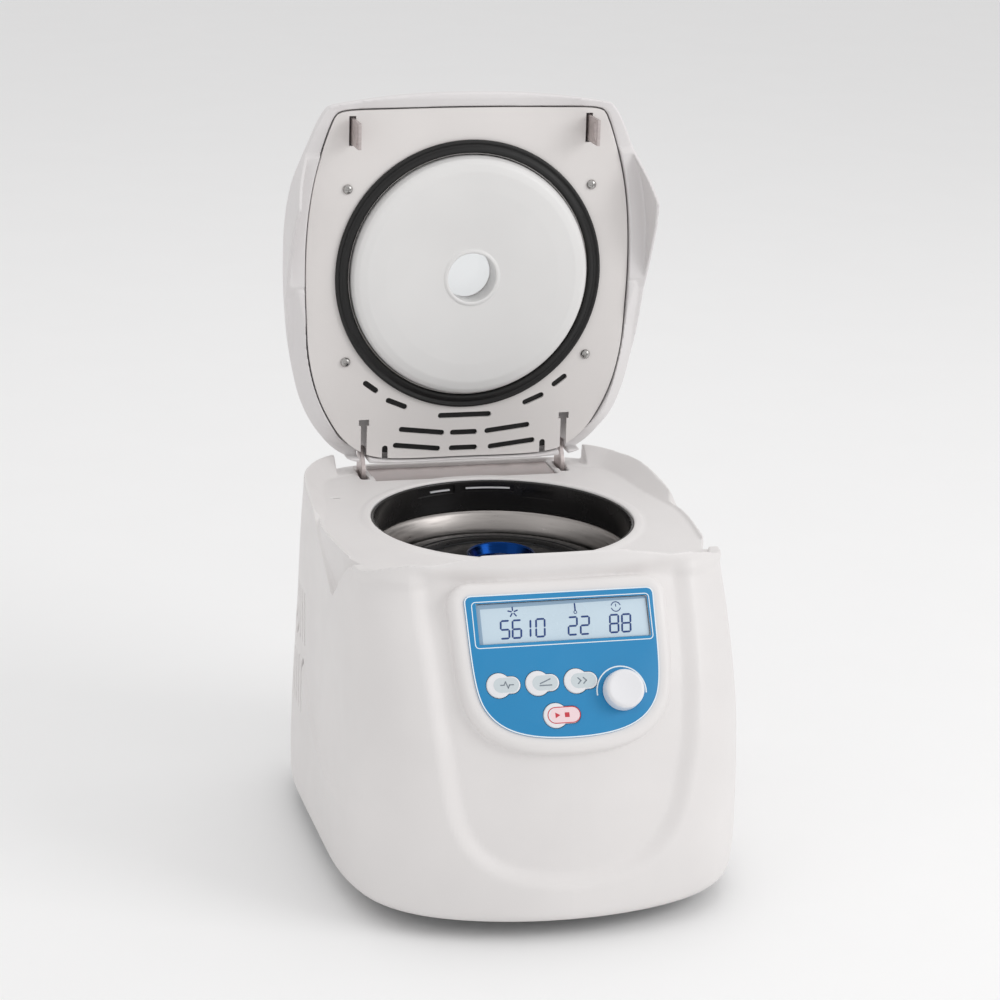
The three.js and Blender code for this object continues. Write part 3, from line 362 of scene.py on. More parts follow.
class Surface:
    """A node material with colour drift, roughness drift and a fine bump, all in object space."""

    def __init__(self, name):
        self.material = bpy.data.materials.new(name)
        self.material.use_nodes = True
        self.nodes = self.material.node_tree.nodes
        self.links = self.material.node_tree.links
        self.shader = self.nodes["Principled BSDF"]
        self.place = self.nodes.new("ShaderNodeTexCoord")

    def feed(self, source, socket):
        self.links.new(source, self.shader.inputs[socket])

    def noise(self, scale, detail, stretch=(1, 1, 1)):
        mapping = set_inputs(self.nodes.new("ShaderNodeMapping"), Scale=stretch)
        self.links.new(self.place.outputs["Object"], mapping.inputs["Vector"])
        noise = set_inputs(self.nodes.new("ShaderNodeTexNoise"), Scale=scale, Detail=detail)
        self.links.new(mapping.outputs["Vector"], noise.inputs["Vector"])
        return noise.outputs["Fac"]

    def tint(self, factor, tone, low, high):
        """Lets the base colour drift between two shares of a tone."""
        ramp = self.nodes.new("ShaderNodeValToRGB")
        for element, position, share in zip(ramp.color_ramp.elements, (0.3, 0.7), (low, high)):
            element.position = position
            element.color = (*(min(1.0, channel * share) for channel in tone), 1)
        self.links.new(factor, ramp.inputs["Fac"])
        self.feed(ramp.outputs["Color"], "Base Color")

    def wear(self, factor, low, high):
        """Lets the roughness drift between two values."""
        span = self.nodes.new("ShaderNodeMapRange")
        set_inputs(span, From_Min=0.3, From_Max=0.7, To_Min=low, To_Max=high)
        self.links.new(factor, span.inputs["Value"])
        self.feed(span.outputs["Result"], "Roughness")

    def bump(self, height, strength, distance):
        bump = set_inputs(self.nodes.new("ShaderNodeBump"), Strength=strength, Distance=distance)
        self.links.new(height, bump.inputs["Height"])
        self.feed(bump.outputs["Normal"], "Normal")


def plastic(name, tone, roughness=0.42, grain=0.12, drift=0.035, grain_scale=1500):
    """Moulded, printed or rubber surface: its tone drifts by a share, and grain is the depth of its bump."""
    surface = Surface(name)
    surface.tint(surface.noise(9, 3), tone, 1 - drift, 1 + drift)
    surface.wear(surface.noise(60, 5), roughness - 0.05, roughness + 0.06)
    surface.bump(surface.noise(grain_scale, 2), grain, 0.00012)
    return surface.material


def metal(name, tone, roughness=0.3, stretch=(1, 1, 1), scale=300, grain=0.15, anisotropic=0.0):
    """Metal with streaks drawn out by the stretch; turned metal is anisotropic round the vertical."""
    surface = Surface(name)
    streaks = surface.noise(scale, 4, stretch)
    surface.tint(streaks, tone, 0.88, 1.06)
    surface.wear(streaks, roughness - 0.07, roughness + 0.09)
    surface.bump(streaks, grain, 0.00006)
    set_inputs(surface.shader, Metallic=1.0, Anisotropic=anisotropic)
    if anisotropic:
        tangent = surface.nodes.new("ShaderNodeTangent")
        tangent.direction_type = "RADIAL"
        tangent.axis = "Z"
        surface.feed(tangent.outputs["Tangent"], "Tangent")
    return surface.material


def glass(name, tone, roughness=0.05):
    surface = Surface(name)
    surface.wear(surface.noise(40, 5), roughness, roughness + 0.06)
    set_inputs(surface.shader, Base_Color=(*tone, 1), Transmission_Weight=1.0, IOR=1.46)
    return surface.material


HOUSING = plastic("housing_plastic", colour(226, 223, 222), 0.44)
LID_SHELL = plastic("lid_plastic", colour(222, 219, 219), 0.44)
LINER = plastic("liner_plastic", colour(224, 220, 218), 0.5)
DISC = plastic("disc_plastic", colour(226, 225, 224), 0.36)
COLLAR = plastic("collar_plastic", colour(30, 29, 29), 0.24, 0.04, 0.12)
RUBBER = plastic("black_rubber", colour(10, 9, 9), 0.5, 0.15, 0.12)
BLACK = plastic("black_plastic", colour(26, 26, 27), 0.4, 0.2, 0.1)
BLUE = plastic("overlay_film", colour(28, 132, 186), 0.34, 0.06, 0.03, 2500)
WHITE_PRINT = plastic("white_print", colour(232, 240, 244), 0.4, 0.05, 0.02)
RED_PRINT = plastic("red_print", colour(196, 52, 66), 0.4, 0.05, 0.05)
GREY_PRINT = plastic("grey_print", colour(120, 130, 140), 0.45, 0.05, 0.03)
BUTTON = plastic("button_plastic", colour(228, 228, 231), 0.34, 0.06, 0.02)
KEY_INLAY = plastic("key_inlay", colour(200, 209, 213), 0.36, 0.06, 0.02)
START_INLAY = plastic("start_inlay", colour(238, 212, 216), 0.36, 0.06, 0.02)
LCD_BACK = plastic("lcd_back", colour(196, 214, 226), 0.3, 0.03, 0.04)
LCD_SHADE = plastic("lcd_shade", colour(140, 166, 188), 0.4, 0.03, 0.04)
LCD_INK = plastic("lcd_ink", colour(24, 58, 118), 0.3, 0.03, 0.08)
STEEL = metal("turned_steel", (0.40, 0.375, 0.36), 0.34, (1, 1, 12), 60, 0.02, 0.7)
PLATE = metal("pressed_plate", (0.58, 0.52, 0.51), 0.4, (1, 1, 6), 120, 0.08)
SCREW = metal("screw_steel", (0.45, 0.44, 0.43), 0.24, (1, 1, 1), 500, 0.08)
BLUE_METAL = metal("blue_anodised", (0.004, 0.03, 0.14), 0.2, (1, 1, 10), 90, 0.04, 0.4)
ROTOR_METAL = metal("black_anodised", (0.035, 0.036, 0.038), 0.33, (1, 1, 1), 200, 0.1)
PAN_PAINT = plastic("pan_paint", colour(150, 151, 152), 0.5, 0.3, 0.05)
BOARD = plastic("board_mask", colour(28, 84, 50), 0.5, 0.1, 0.1)
WINDOW = glass("window_acrylic", (0.95, 0.97, 0.98))


def dress(piece, material, body, slot, *nodes):
    """Gives a piece its finish and its body, and hides the CAD nodes that it stands for."""
    piece.data.materials.clear()
    piece.data.materials.append(material)
    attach(piece, body)
    if nodes:
        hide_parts(*nodes)
    return piece


# ---------------- housing
SECTION_Z = np.array([-222, -216, -185, -140, -98, -60, -30, -10, 4, 20])
SECTION_HALF = np.array([139.5, 142.5, 143, 142, 140, 139, 138, 137, 136, 135.5])
SECTION_CORNER = np.array([154, 158, 162, 163, 163, 146, 126, 110, 104, 101])
SECTION_BOW = np.array([42, 39, 34, 29, 24, 26, 28, 27, 22, 22])
WIDEST_Y = -20
HOUSING_POINTS = 400


def eased(z, values):
    """Section values between the key heights, with the corners of the curve softened."""
    fine = np.arange(SECTION_Z[0], SECTION_Z[-1] + 0.5)
    curve = np.interp(fine, SECTION_Z, values)
    kernel = np.exp(-0.5 * (np.arange(-21, 22) / 7) ** 2)
    padded = np.pad(curve, 21, mode="reflect", reflect_type="odd")
    return np.interp(z, fine, np.convolve(padded, kernel / kernel.sum(), "valid"))


def housing_outline(z, count=HOUSING_POINTS):
    half, corner, bow = (eased(z, v) for v in (SECTION_HALF, SECTION_CORNER, SECTION_BOW))
    angle = math.pi / 2 + np.linspace(0, 2 * math.pi, 2880, endpoint=False)
    c, s = np.cos(angle), np.sin(angle)
    power = np.where(s < 0, 2 / 6, 2 / 4)
    x = half * np.sign(c) * np.abs(c) ** power
    reach = np.where(s < 0, corner, BODY_REAR - WIDEST_Y)
    bulge = np.where(s < 0, bow * (1 - (x / half) ** 2), 0)
    y = WIDEST_Y + reach * np.sign(s) * np.abs(s) ** power - bulge
    return evenly(np.stack([x, y], axis=1), count)


def bezier(points, steps=16):
    """A chain of cubic curves through points given as start, two handles, end, two handles, end..."""
    points = np.asarray(points, float)
    result = [points[0]]
    for i in range(0, len(points) - 1, 3):
        p0, p1, p2, p3 = points[i : i + 4]
        for t in np.linspace(0, 1, steps + 1)[1:]:
            result.append(
                (1 - t) ** 3 * p0 + 3 * t * (1 - t) ** 2 * p1 + 3 * t * t * (1 - t) * p2 + t**3 * p3
            )
    return np.array(result)


def depth_inside(points, outline):
    """Distance from each point to a closed outline, positive inside."""
    start = outline
    end = np.roll(outline, -1, axis=0)
    edge = end - start
    offset = points[:, None, :] - start[None]
    share = (offset * edge).sum(-1) / np.maximum((edge * edge).sum(-1), 1e-9)
    nearest = start + np.clip(share, 0, 1)[..., None] * edge
    distance = np.linalg.norm(points[:, None, :] - nearest, axis=-1).min(1)
    px, py = points[:, None, 0], points[:, None, 1]
    crosses = (start[:, 1] > py) != (end[:, 1] > py)
    rise = np.where(edge[:, 1] == 0, 1e-9, edge[:, 1])
    hits = crosses & (px < start[:, 0] + (py - start[:, 1]) / rise * edge[:, 0])
    return np.where(hits.sum(1) % 2 == 1, distance, -distance)


def ease(value):
    value = np.clip(value, 0, 1)
    return value * value * (3 - 2 * value)


SHIELD = bezier(
    [
        (-102, 40),
        (-102, 0), (-100, -70), (-89, -130),
        (-84, -165), (-70, -197), (0, -199),
        (70, -197), (84, -165), (89, -130),
        (100, -70), (102, 0), (102, 40),
    ]
)
SHIELD_DEPTH = 6.5
SHIELD_WALL = 13
FLANK = np.array([(80, -75), (60, -92), (34, -106), (-5, -130), (-40, -150), (-80, -160), (-260, -165)])
FLANK_RISE = 1.8
CORNER_SWELL = 2.6
THICK_WALL = 12.5
THIN_WALL = 3


def housing_ring(z):
    """Plan outline of the housing, with the shield pressed in, the flanks swollen and the corners filled."""
    ring = housing_outline(z)
    front = ring[:, 1] < -50
    face = np.stack([ring[:, 0], np.full(len(ring), z)], axis=1)
    inside = depth_inside(face, SHIELD)
    near_top = ease((12 - z) / 14)
    sunk = np.where(front, ease(inside / SHIELD_WALL) * SHIELD_DEPTH * near_top, 0)
    crease = np.interp(-ring[:, 1], -FLANK[:, 0], FLANK[:, 1])
    swell = ease((crease - z) / 5) * ease((np.abs(ring[:, 0]) - 118) / 14) * ease((85 - ring[:, 1]) / 30)
    ring = offset_ring(ring, swell * FLANK_RISE * ease((ring[:, 1] + 150) / 60) - sunk)
    corner = ease((np.abs(ring[:, 0]) - 70) / 22) * ease((-100 - ring[:, 1]) / 10) * ease((z + 6) / 8)
    ring = offset_ring(ring, corner * CORNER_SWELL)
    edge = max(0.0, PAN_BOTTOM + 7 - z)
    return offset_ring(ring, -(7 - math.sqrt(max(0.0, 49 - edge * edge))) * 0.7)


def housing_body():
    heights = np.concatenate([np.arange(PAN_BOTTOM, PAN_BOTTOM + 8, 1), np.arange(PAN_BOTTOM + 9, 21, 2)])
    return loft("housing", [at_height(housing_ring(z), z) for z in heights])


def housing_hollow():
    """The room inside; its walls are thick at the front and beside the lid's skirts."""
    rings = []
    for z in (PAN_BOTTOM - 2, -185, -140, -98, -60, -30, -9):
        ring = housing_outline(max(z, SECTION_Z[0]), 160)
        thick = (ring[:, 1] < -60) | (z > -35)
        rings.append(at_height(offset_ring(ring, np.where(thick, -THICK_WALL, -THIN_WALL)), z))
    rings.append([(x, y, -4) for x, y, _ in rings[-1]])
    return loft("hollow", rings)


BROW_TOP = 19.4
# The height of the rims along each side, seen from the side.
SIDE_PROFILE = [
    (-230, BROW_TOP), (-140.5, BROW_TOP), (-138.2, 18.4), (-136, 15.4), (-132, 12.4), (-126, 9.4),
    (-117, 5.2), (-107, 3.7), (-25, 3.7), (0, 5.2), (20, 6.6), (48, 9.4), (75, 12), (95, 13), (170, 13),
]
# Half the outline of the recess that the lid sits in, at deck level.
RECESS_FOOT = [
    (0, -138.6), (30, -138.0), (60, -136.2), (90, -131.9), (106, -128.9), (113, -124), (119, -114),
    (123.5, -102), (126.3, -88), (128.3, -70), (130.3, -50), (132.4, -25), (132.2, 0), (127.4, 22),
    (121.8, 45), (118, 70), (114.5, 92), (107, 110), (92, 119), (60, 121), (0, 121),
]
# Steps cut into the rims for the skirts of the closed lid.
REBATE = [(-98, 5), (-61.5, -31), (-54.5, -31), (28, 8), (28, 40), (-98, 40)]
RIM_GAP = [(-98, 0), (-72, 0), (-72, 1.7), (7.6, 1.7), (14, 5.8), (14, 40), (-98, 40)]
BEYOND = 170  # clear of the housing on either side
REAR_WALL = 141.6  # inner face of the rear wall behind the hinge
STEP_FRONT = 118  # where the deck steps down behind the recess
MOUTH_RADIUS = 95.8
POST_RADIUS = 108  # the wall left round the chamber
SLIT_HALF = 3.2  # half the width of the slots for the hinge arms and the striker plates
STRIKER_X = 90
STRIKER_Y = -109.5
ARM_X = 78
LID_OUTLINE = [
    (0, -137), (30, -136.5), (55, -135), (80, -132.3), (98, -129.6), (107, -127.6), (111.5, -123),
    (117, -113), (122.5, -100), (128.4, -86), (133.6, -72), (137, -56), (138.9, -38), (139.4, -18),
    (139.2, 2), (137.8, 26), (135.6, 48), (131.4, 72), (126.4, 92), (119.5, 108), (111, 121),
    (102, 131.5), (91, 139), (78, 142.4), (0, 143.4),
]
SKIRT_THICK = 3

# How far the wall of the recess leans out for each millimetre of height: places along Y, then slopes.
RECESS_SLOPE = ((-110, -50, 20, 60, 92), (0.04, 0.46, 1.2, 1.2, 1.0))
# Where the brow dips in front of each latch slot.
BROW_SAG = [(52, 18), (68, 15.6), (84, 12.6), (98, 12.4), (106, 16), (106, 40), (52, 40)]


def housing_cutters():
    """Everything taken out of the solid housing, for the lid, the hinge, the latches and the vents."""
    foot = smooth_closed(mirrored(RECESS_FOOT), 240)
    slope = np.interp(foot[:, 1], *RECESS_SLOPE)
    recess = loft("recess", [at_height(offset_ring(foot, z * slope), z) for z in (0, 1, 2, 4, 8, 20)])
    rims = prism_x("rims", flowing(SIDE_PROFILE) + [(170, 60), (-230, 60)], -BEYOND, BEYOND)
    rebates = prism_x("rebates", REBATE, -BEYOND, BEYOND)
    core = prism("core", offset_ring(foot, 2.6), -60, 60)
    skirt = offset_ring(smooth_closed(mirrored(LID_OUTLINE), 240), -SKIRT_THICK - 0.5)
    combine(core, [prism("skirt", skirt, -61, 61)], "INTERSECT")
    combine(rebates, [core], "DIFFERENCE")
    cutters = [housing_hollow(), rims, recess, rebates, prism_x("rim_gap", RIM_GAP, -BEYOND, BEYOND)]
    for side in (-1, 1):
        cutters.append(loft("sag", [[(side * x, y, z) for x, z in BROW_SAG] for y in (-240, -122)]))
    pocket = block("pocket", -71, 71, 104, REAR_WALL, -26, 40)
    combine(pocket, [drill("rim", POST_RADIUS, -60, 60)], "DIFFERENCE")
    cutters.append(pocket)
    step = ARM_X + SLIT_HALF
    cutters.append(block("rear_step", -step, step, STEP_FRONT, REAR_WALL, -1, 40))
    cutters.append(block("rear_top", -98, 98, STEP_FRONT, BODY_REAR + 20, 1, 40))
    for side in (-1, 1):
        cutters.append(centred(side * ARM_X, SLIT_HALF, 109.6, 138.8, -70, 30))
        cutters.append(centred(side * STRIKER_X, SLIT_HALF, STRIKER_Y - 12.5, STRIKER_Y + 12.5, -30, 30))
    cutters.append(prism("sensor", slot_ring(-112, 66, -108, 66, 3), -10, 10))
    cutters.append(block("rear_opening", -92, 92, 134.6, 190, -204, -70))
    return cutters + louvres()


def louvres():
    """Two rows of slanted slots in each side wall."""
    cutters = []
    for row in range(2):
        for i in range(9):
            y = 34 + 9.5 * i - 8 * row
            z = -62 - 48 * row
            outline = [(y, z), (y - 9, z - 38), (y - 6, z - 38), (y + 3, z)]
            for x0, x1 in ((-BEYOND, -118), (118, BEYOND)):
                cutters.append(prism_x("louvre", outline, x0, x1))
    return cutters


def console_outline(margin=0.0):
    """Outline of the printed overlay, grown by a margin, anticlockwise from its top left corner."""
    top = 30.4
    bottom = -70.6
    half = 67
    curve = bezier(
        [
            (-half + 5, top),
            (-half + 2, top), (-half, top - 2), (-half, top - 5),
            (-half + 1, -8), (-half, -36), (-half + 7, -48),
            (-half + 15, bottom + 8), (-36, bottom), (0, bottom),
            (36, bottom), (half - 15, bottom + 8), (half - 7, -48),
            (half, -36), (half - 1, -8), (half, top - 5),
            (half, top - 2), (half - 2, top), (half - 5, top),
        ]
    )
    return offset_ring(evenly(curve, 200), margin)


BUTTONS = {
    "pulse": (-48.7, -32.2, 15),
    "door": (-21.6, -32.2, 15),
    "select": (5.3, -32.2, 15),
    "start_stop": (-11.5, -54.9, 17.5),
}
CAP_RADIUS = 8.6
PILL_RADIUS = 5.9
DIAL = (36.8, -40.8)
DIAL_RADIUS = 13.9
DIAL_BORE = 4.4
DISPLAY = (-58.6, 61.6, -3.4, 24.2)


def keyhole(x, y, pill, margin=0.0):
    """A round cap with a smaller pill running out to its right, anticlockwise."""
    cap = CAP_RADIUS + margin
    arm = PILL_RADIUS + margin
    join = math.asin(arm / cap)
    end = x + pill - PILL_RADIUS
    ring = [around(x, y, cap, angle) for angle in np.linspace(join, 2 * math.pi - join, 48)]
    ring += [around(end, y, arm, angle) for angle in np.linspace(-math.pi / 2, math.pi / 2, 20)]
    return evenly(ring, 96)


def console_openings(z0, z1, margin=0.4):
    cutters = []
    for name, (x, y, pill) in BUTTONS.items():
        cutters.append(prism("opening", keyhole(x, y, pill, margin), z0, z1, CONSOLE_TO_FRAME))
    x0, x1, y0, y1 = DISPLAY
    window = (x0 - margin, x1 + margin, y0 - margin, y1 + margin)
    cutters.append(block("opening", *window, z0, z1, CONSOLE_TO_FRAME))
    circle = [around(*DIAL, DIAL_BORE, angle) for angle in np.linspace(0, 6.2, 24)]
    cutters.append(prism("opening", circle, z0, z1, CONSOLE_TO_FRAME))
    return cutters


def make_housing():
    body = housing_body()
    profile = [(90, -3.5), (105, -3.5), (103.6, 0.2), (100.5, 1.3), (97.5, 1.2), (90, 0.4)]
    bead = turned("bead", profile, 1.0, 160)
    pad = soft_prism("pad", console_outline(10), -16, 0.2, 6, CONSOLE_TO_FRAME, steps=9)
    combine(body, housing_cutters(), "DIFFERENCE")
    combine(body, [pad, bead], "UNION")
    mouth = drill("mouth", MOUTH_RADIUS, -20, 20)
    cavity = prism("cavity", console_outline(-3), -40, -3, CONSOLE_TO_FRAME)
    combine(body, [mouth, cavity] + console_openings(-20, 10, 0.5), "DIFFERENCE")
    mould(body)
    return dress(body, HOUSING, "base", "housing", "housing")


make_housing()


# ---------------- console
def console_prism(name, ring, low, high, radius):
    return soft_prism(name, ring, low, high, radius, CONSOLE_TO_FRAME)


def make_overlay():
    sheet = console_prism("control_overlay", console_outline(), 0.3, 1.2, 0.25)
    combine(sheet, console_openings(-1, 3), "DIFFERENCE")
    dress(shade(sheet, 30), BLUE, "base", "overlay", "control_overlay")
    border("overlay_edge", console_outline(-0.1), console_outline(-0.9), 1.2, 1.32, WHITE_PRINT)
    x0, x1, y0, y1 = DISPLAY
    outer = box_ring(x0 - 3.6, x1 + 1.9, y0 - 3, y1 + 1.8, 3)
    inner = box_ring(x0 - 3.0, x1 + 1.3, y0 - 2.4, y1 + 1.2, 2.4)
    border("display_edge", outer, inner, 1.2, 1.3, WHITE_PRINT)


def border(name, outer, inner, low, high, material):
    """A thin printed line between two outlines with equal point counts."""
    rings = [outer, inner, inner, outer]
    heights = [low, low, high, high]
    count = len(outer)
    vertices = [(x, y, z) for ring, z in zip(rings, heights) for x, y in ring]
    faces = []
    for level in range(4):
        for i in range(count):
            j = (i + 1) % count
            up = (level + 1) % 4
            faces.append((level * count + i, level * count + j, up * count + j, up * count + i))
    piece = closed_skin(name, vertices, faces, CONSOLE_TO_FRAME)
    return dress(shade(piece, 30), material, "base", "overlay")


# Keys stand this high above the console, and their marks lie just over the inlays.
KEY_TOP = 2.2
MARK_Z = 2.24


def make_buttons():
    for name, (x, y, pill) in BUTTONS.items():
        cap = console_prism(name + "_button", keyhole(x, y, pill), -2, KEY_TOP, 0.9)
        dress(shade(cap, 40), BUTTON, name, "button", name + "_button")
        inlay = slot_ring(x + 1.2, y, x + pill - PILL_RADIUS - 0.4, y, 10.2, 16)
        material = START_INLAY if name == "start_stop" else KEY_INLAY
        print_rings(name + "_inlay", [inlay], KEY_TOP, material, name, "button", 0.06)


def make_dial():
    profile = [(0, 1.7), (DIAL_RADIUS - 0.4, 1.7), (DIAL_RADIUS, 2.4), (DIAL_RADIUS - 0.5, 10.4)]
    profile += [(DIAL_RADIUS - 2.2, 12.2), (DIAL_RADIUS - 5, 12.0), (0, 11.4)]
    dial = turned("control_knob", profile, 0.9, 96, CONSOLE_TO_FRAME, DIAL)
    dress(shade(dial, 50), BUTTON, "dial", "button", "control_knob")


SEGMENTS = {
    "0": "abcdef", "1": "bc", "2": "abged", "5": "afgcd", "6": "afgedc", "8": "abcdefg",
}
DIGITS = [
    ("5", -43.4), ("6", -35.1), ("1", -28.6), ("0", -18.6),
    ("2", 4.2), ("2", 12.8), ("8", 33.6), ("8", 42.2),
]
DIGIT_FOOT = 0.1
DIGIT_WIDTH = 6.0
DIGIT_HEIGHT = 12.1
STROKE = 1.25
SLANT = 0.09  # how far a digit leans over for each millimetre of height


def digit(text, x, y):
    """Seven-segment digit with its lower left corner at (x, y)."""
    w, h, s = DIGIT_WIDTH, DIGIT_HEIGHT, STROKE
    bars = {
        "a": (0, w, h, h), "d": (0, w, 0, 0), "g": (0, w, h / 2, h / 2),
        "f": (0, 0, h / 2, h), "b": (w, w, h / 2, h), "e": (0, 0, 0, h / 2), "c": (w, w, 0, h / 2),
    }
    rings = []
    for key in SEGMENTS[text]:
        x0, x1, y0, y1 = bars[key]
        gap = s * 0.12
        if y0 == y1:
            ring = [(x0 + gap, y0), (x0 + gap + s / 2, y0 - s / 2), (x1 - gap - s / 2, y0 - s / 2)]
            ring += [(x1 - gap, y0), (x1 - gap - s / 2, y0 + s / 2), (x0 + gap + s / 2, y0 + s / 2)]
        else:
            ring = [(x0, y0 + gap), (x0 + s / 2, y0 + gap + s / 2), (x0 + s / 2, y1 - gap - s / 2)]
            ring += [(x0, y1 - gap), (x0 - s / 2, y1 - gap - s / 2), (x0 - s / 2, y0 + gap + s / 2)]
        rings.append([(x + px + SLANT * py, y + py) for px, py in ring])
    return rings


def print_rings(name, rings, z, material, body="base", slot="display", thick=0.12, matrix=CONSOLE_TO_FRAME):
    """Flat printed marks, each a thin closed prism."""
    vertices = []
    faces = []
    for ring in rings:
        base = len(vertices)
        count = len(ring)
        vertices += at_height(ring, z) + at_height(ring, z + thick)
        faces.append(tuple(base + i for i in reversed(range(count))))
        faces.append(tuple(base + count + i for i in range(count)))
        for i in range(count):
            j = (i + 1) % count
            faces.append((base + i, base + j, base + count + j, base + count + i))
    piece = closed_skin(name, vertices, faces, matrix)
    return dress(piece, material, body, slot)


def arc_ring(x, y, radius, width, start=0, end=360, steps=32):
    """A stroke along an arc, anticlockwise, left open by a hair when it goes all the way round."""
    angles = np.radians(np.linspace(start, min(end, start + 359.5), steps))
    outer = [around(x, y, radius + width / 2, a) for a in angles]
    inner = [around(x, y, radius - width / 2, a) for a in angles]
    return outer + inner[::-1]


def make_display():
    x0, x1, y0, y1 = DISPLAY
    back = block("display_window", x0, x1, y0, y1, -2.6, -0.6, CONSOLE_TO_FRAME, 0.5)
    dress(shade(back), LCD_BACK, "base", "display", "display_window")
    digits = []
    for text, x in DIGITS:
        digits += digit(text, x, DIGIT_FOOT)
    print_rings("display_digits", digits, -0.6, LCD_INK)
    marks = []
    for turn in range(20, 360, 72):
        near, far = (around(-33.2, 18, reach, math.radians(turn)) for reach in (1.2, 3.4))
        marks.append(slot_ring(*near, *far, 0.9))
    marks += [arc_ring(10.6, 15.6, 1.0, 0.45), slot_ring(10.6, 17, 10.6, 21.4, 1.0)]
    marks += [arc_ring(39.6, 17.9, 3.3, 0.6, start, start + 150, 24) for start in (15, 195)]
    marks += [slot_ring(39.6, 18, 39.6, 19.6, 0.5)]
    print_rings("display_marks", marks, -0.6, LCD_INK)
    # A painted shadow of the bezel along the left and top edges of the window.
    shade_left = [(x0, y0), (x0 + 2.6, y0), (x0 + 2.6, y1 - 3.2), (x1, y1 - 1.6), (x1, y1), (x0, y1)]
    print_rings("display_shade", [shade_left], -0.6, LCD_SHADE, thick=0.08)


make_overlay()
make_buttons()
make_dial()
make_display()


def make_console_marks():
    x, y, pill = BUTTONS["start_stop"]
    outer = slot_ring(x - 0.2, y, x + pill - PILL_RADIUS, y, 11.4, 14)
    inner = slot_ring(x - 0.2, y, x + pill - PILL_RADIUS, y, 10.2, 14)
    line = border("start_stop_line", outer, inner, KEY_TOP, KEY_TOP + 0.1, RED_PRINT)
    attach(line, "start_stop")
    stop = box_ring(x + 6.2, x + 9.4, y - 1.6, y + 1.6, 0.2)
    start = [(x - 0.4, y - 1.9), (x + 3, y), (x - 0.4, y + 1.9)]
    print_rings("start_stop_mark", [stop, start], MARK_Z, RED_PRINT, "start_stop", "button")
    x, y, pill = BUTTONS["pulse"]
    trace = [(1, 0), (3.4, 0), (4.6, 2.2), (6.2, -2.2), (7.2, 0), (10, 0)]
    pulse = [slot_ring(x + x0, y + y0, x + x1, y + y1, 0.7) for (x0, y0), (x1, y1) in zip(trace, trace[1:])]
    print_rings("pulse_mark", pulse, MARK_Z, GREY_PRINT, "pulse", "button")
    x, y, pill = BUTTONS["door"]
    base = slot_ring(x + 1.2, y - 1.8, x + 9.4, y - 1.8, 0.8)
    leaf = slot_ring(x + 1.6, y - 0.4, x + 8.6, y + 2.4, 0.8)
    print_rings("door_mark", [base, leaf], MARK_Z, GREY_PRINT, "door", "button")
    x, y, pill = BUTTONS["select"]
    chevrons = []
    for shift in (1.2, 5.0):
        chevrons.append(slot_ring(x + shift, y - 2, x + shift + 2, y, 0.8))
        chevrons.append(slot_ring(x + shift + 2, y, x + shift, y + 2, 0.8))
    print_rings("select_mark", chevrons, MARK_Z, GREY_PRINT, "select", "button")
    sweep = [arc_ring(DIAL[0] - 0.3, DIAL[1] - 0.4, 17.3, 0.9, -6, 186, 64)]
    print_rings("dial_arc", sweep, 1.2, WHITE_PRINT, "base", "overlay")


make_console_marks()


# ---------------- chamber, rotor and drive
# Recesses in the rear of the collar, and light strips in them that are partly metal plates and partly a
# painted highlight: start and end angle, then heights.
COLLAR_RECESSES = [(98, 118, -9, -2.5), (70, 95, -8.5, -3.5), (51.5, 66, -12.5, -6)]
COLLAR_PLATE_HIGHLIGHTS = [(100.5, 110.5, -6.6), (72, 92.5, -6.2)]


def sector(start, end, inner, outer, steps):
    """Part of a flat ring round the rotor axis, between two angles in degrees."""
    angles = np.radians(np.linspace(start, end, steps))
    rim = [around(0, 0, outer, a) for a in angles]
    return rim + [around(0, 0, inner, a) for a in angles[::-1]]


def make_chamber():
    profile = [(93.4, -23), (95.6, -23), (95.6, -0.4), (94.6, 0.2), (93.6, -0.6)]
    collar = turned("chamber_collar", profile, 0.5, 160)
    cutters = []
    for start, end, low, high in COLLAR_RECESSES:
        cutters.append(prism("recess", sector(start, end, 90, 94.9, 12), low, high))
    combine(collar, cutters, "DIFFERENCE")
    dress(shade(collar, 50), COLLAR, "base", "rubber", "chamber_collar")
    # Light strips in the recesses: partly metal plates, partly a painted highlight.
    for start, end, z in COLLAR_PLATE_HIGHLIGHTS:
        plate_highlight = sector(start, end, 93.6, 94.8, 24)
        print_rings("collar_plate_highlight", [plate_highlight], z, BUTTON, "base", "steel", 1.0, TO_FRAME)
    profile = [
        (14, -104), (70, -104), (82, -101), (89, -92), (90, -80), (88, -54), (86.6, -44), (87.2, -38),
        (89.4, -31), (91.6, -25.4), (93.4, -23.4), (101, -23.4), (101, -24.8), (94.8, -25.4), (93.2, -36),
        (93.2, -80), (90.6, -93.4), (83, -102.8), (70.8, -105.6), (14, -105.6),
    ]
    bowl = turned("chamber_bowl", profile, 2.5, 160)
    dress(shade(bowl, 60), STEEL, "base", "steel", "chamber_bowl")


ROTOR_LID_Z = -37


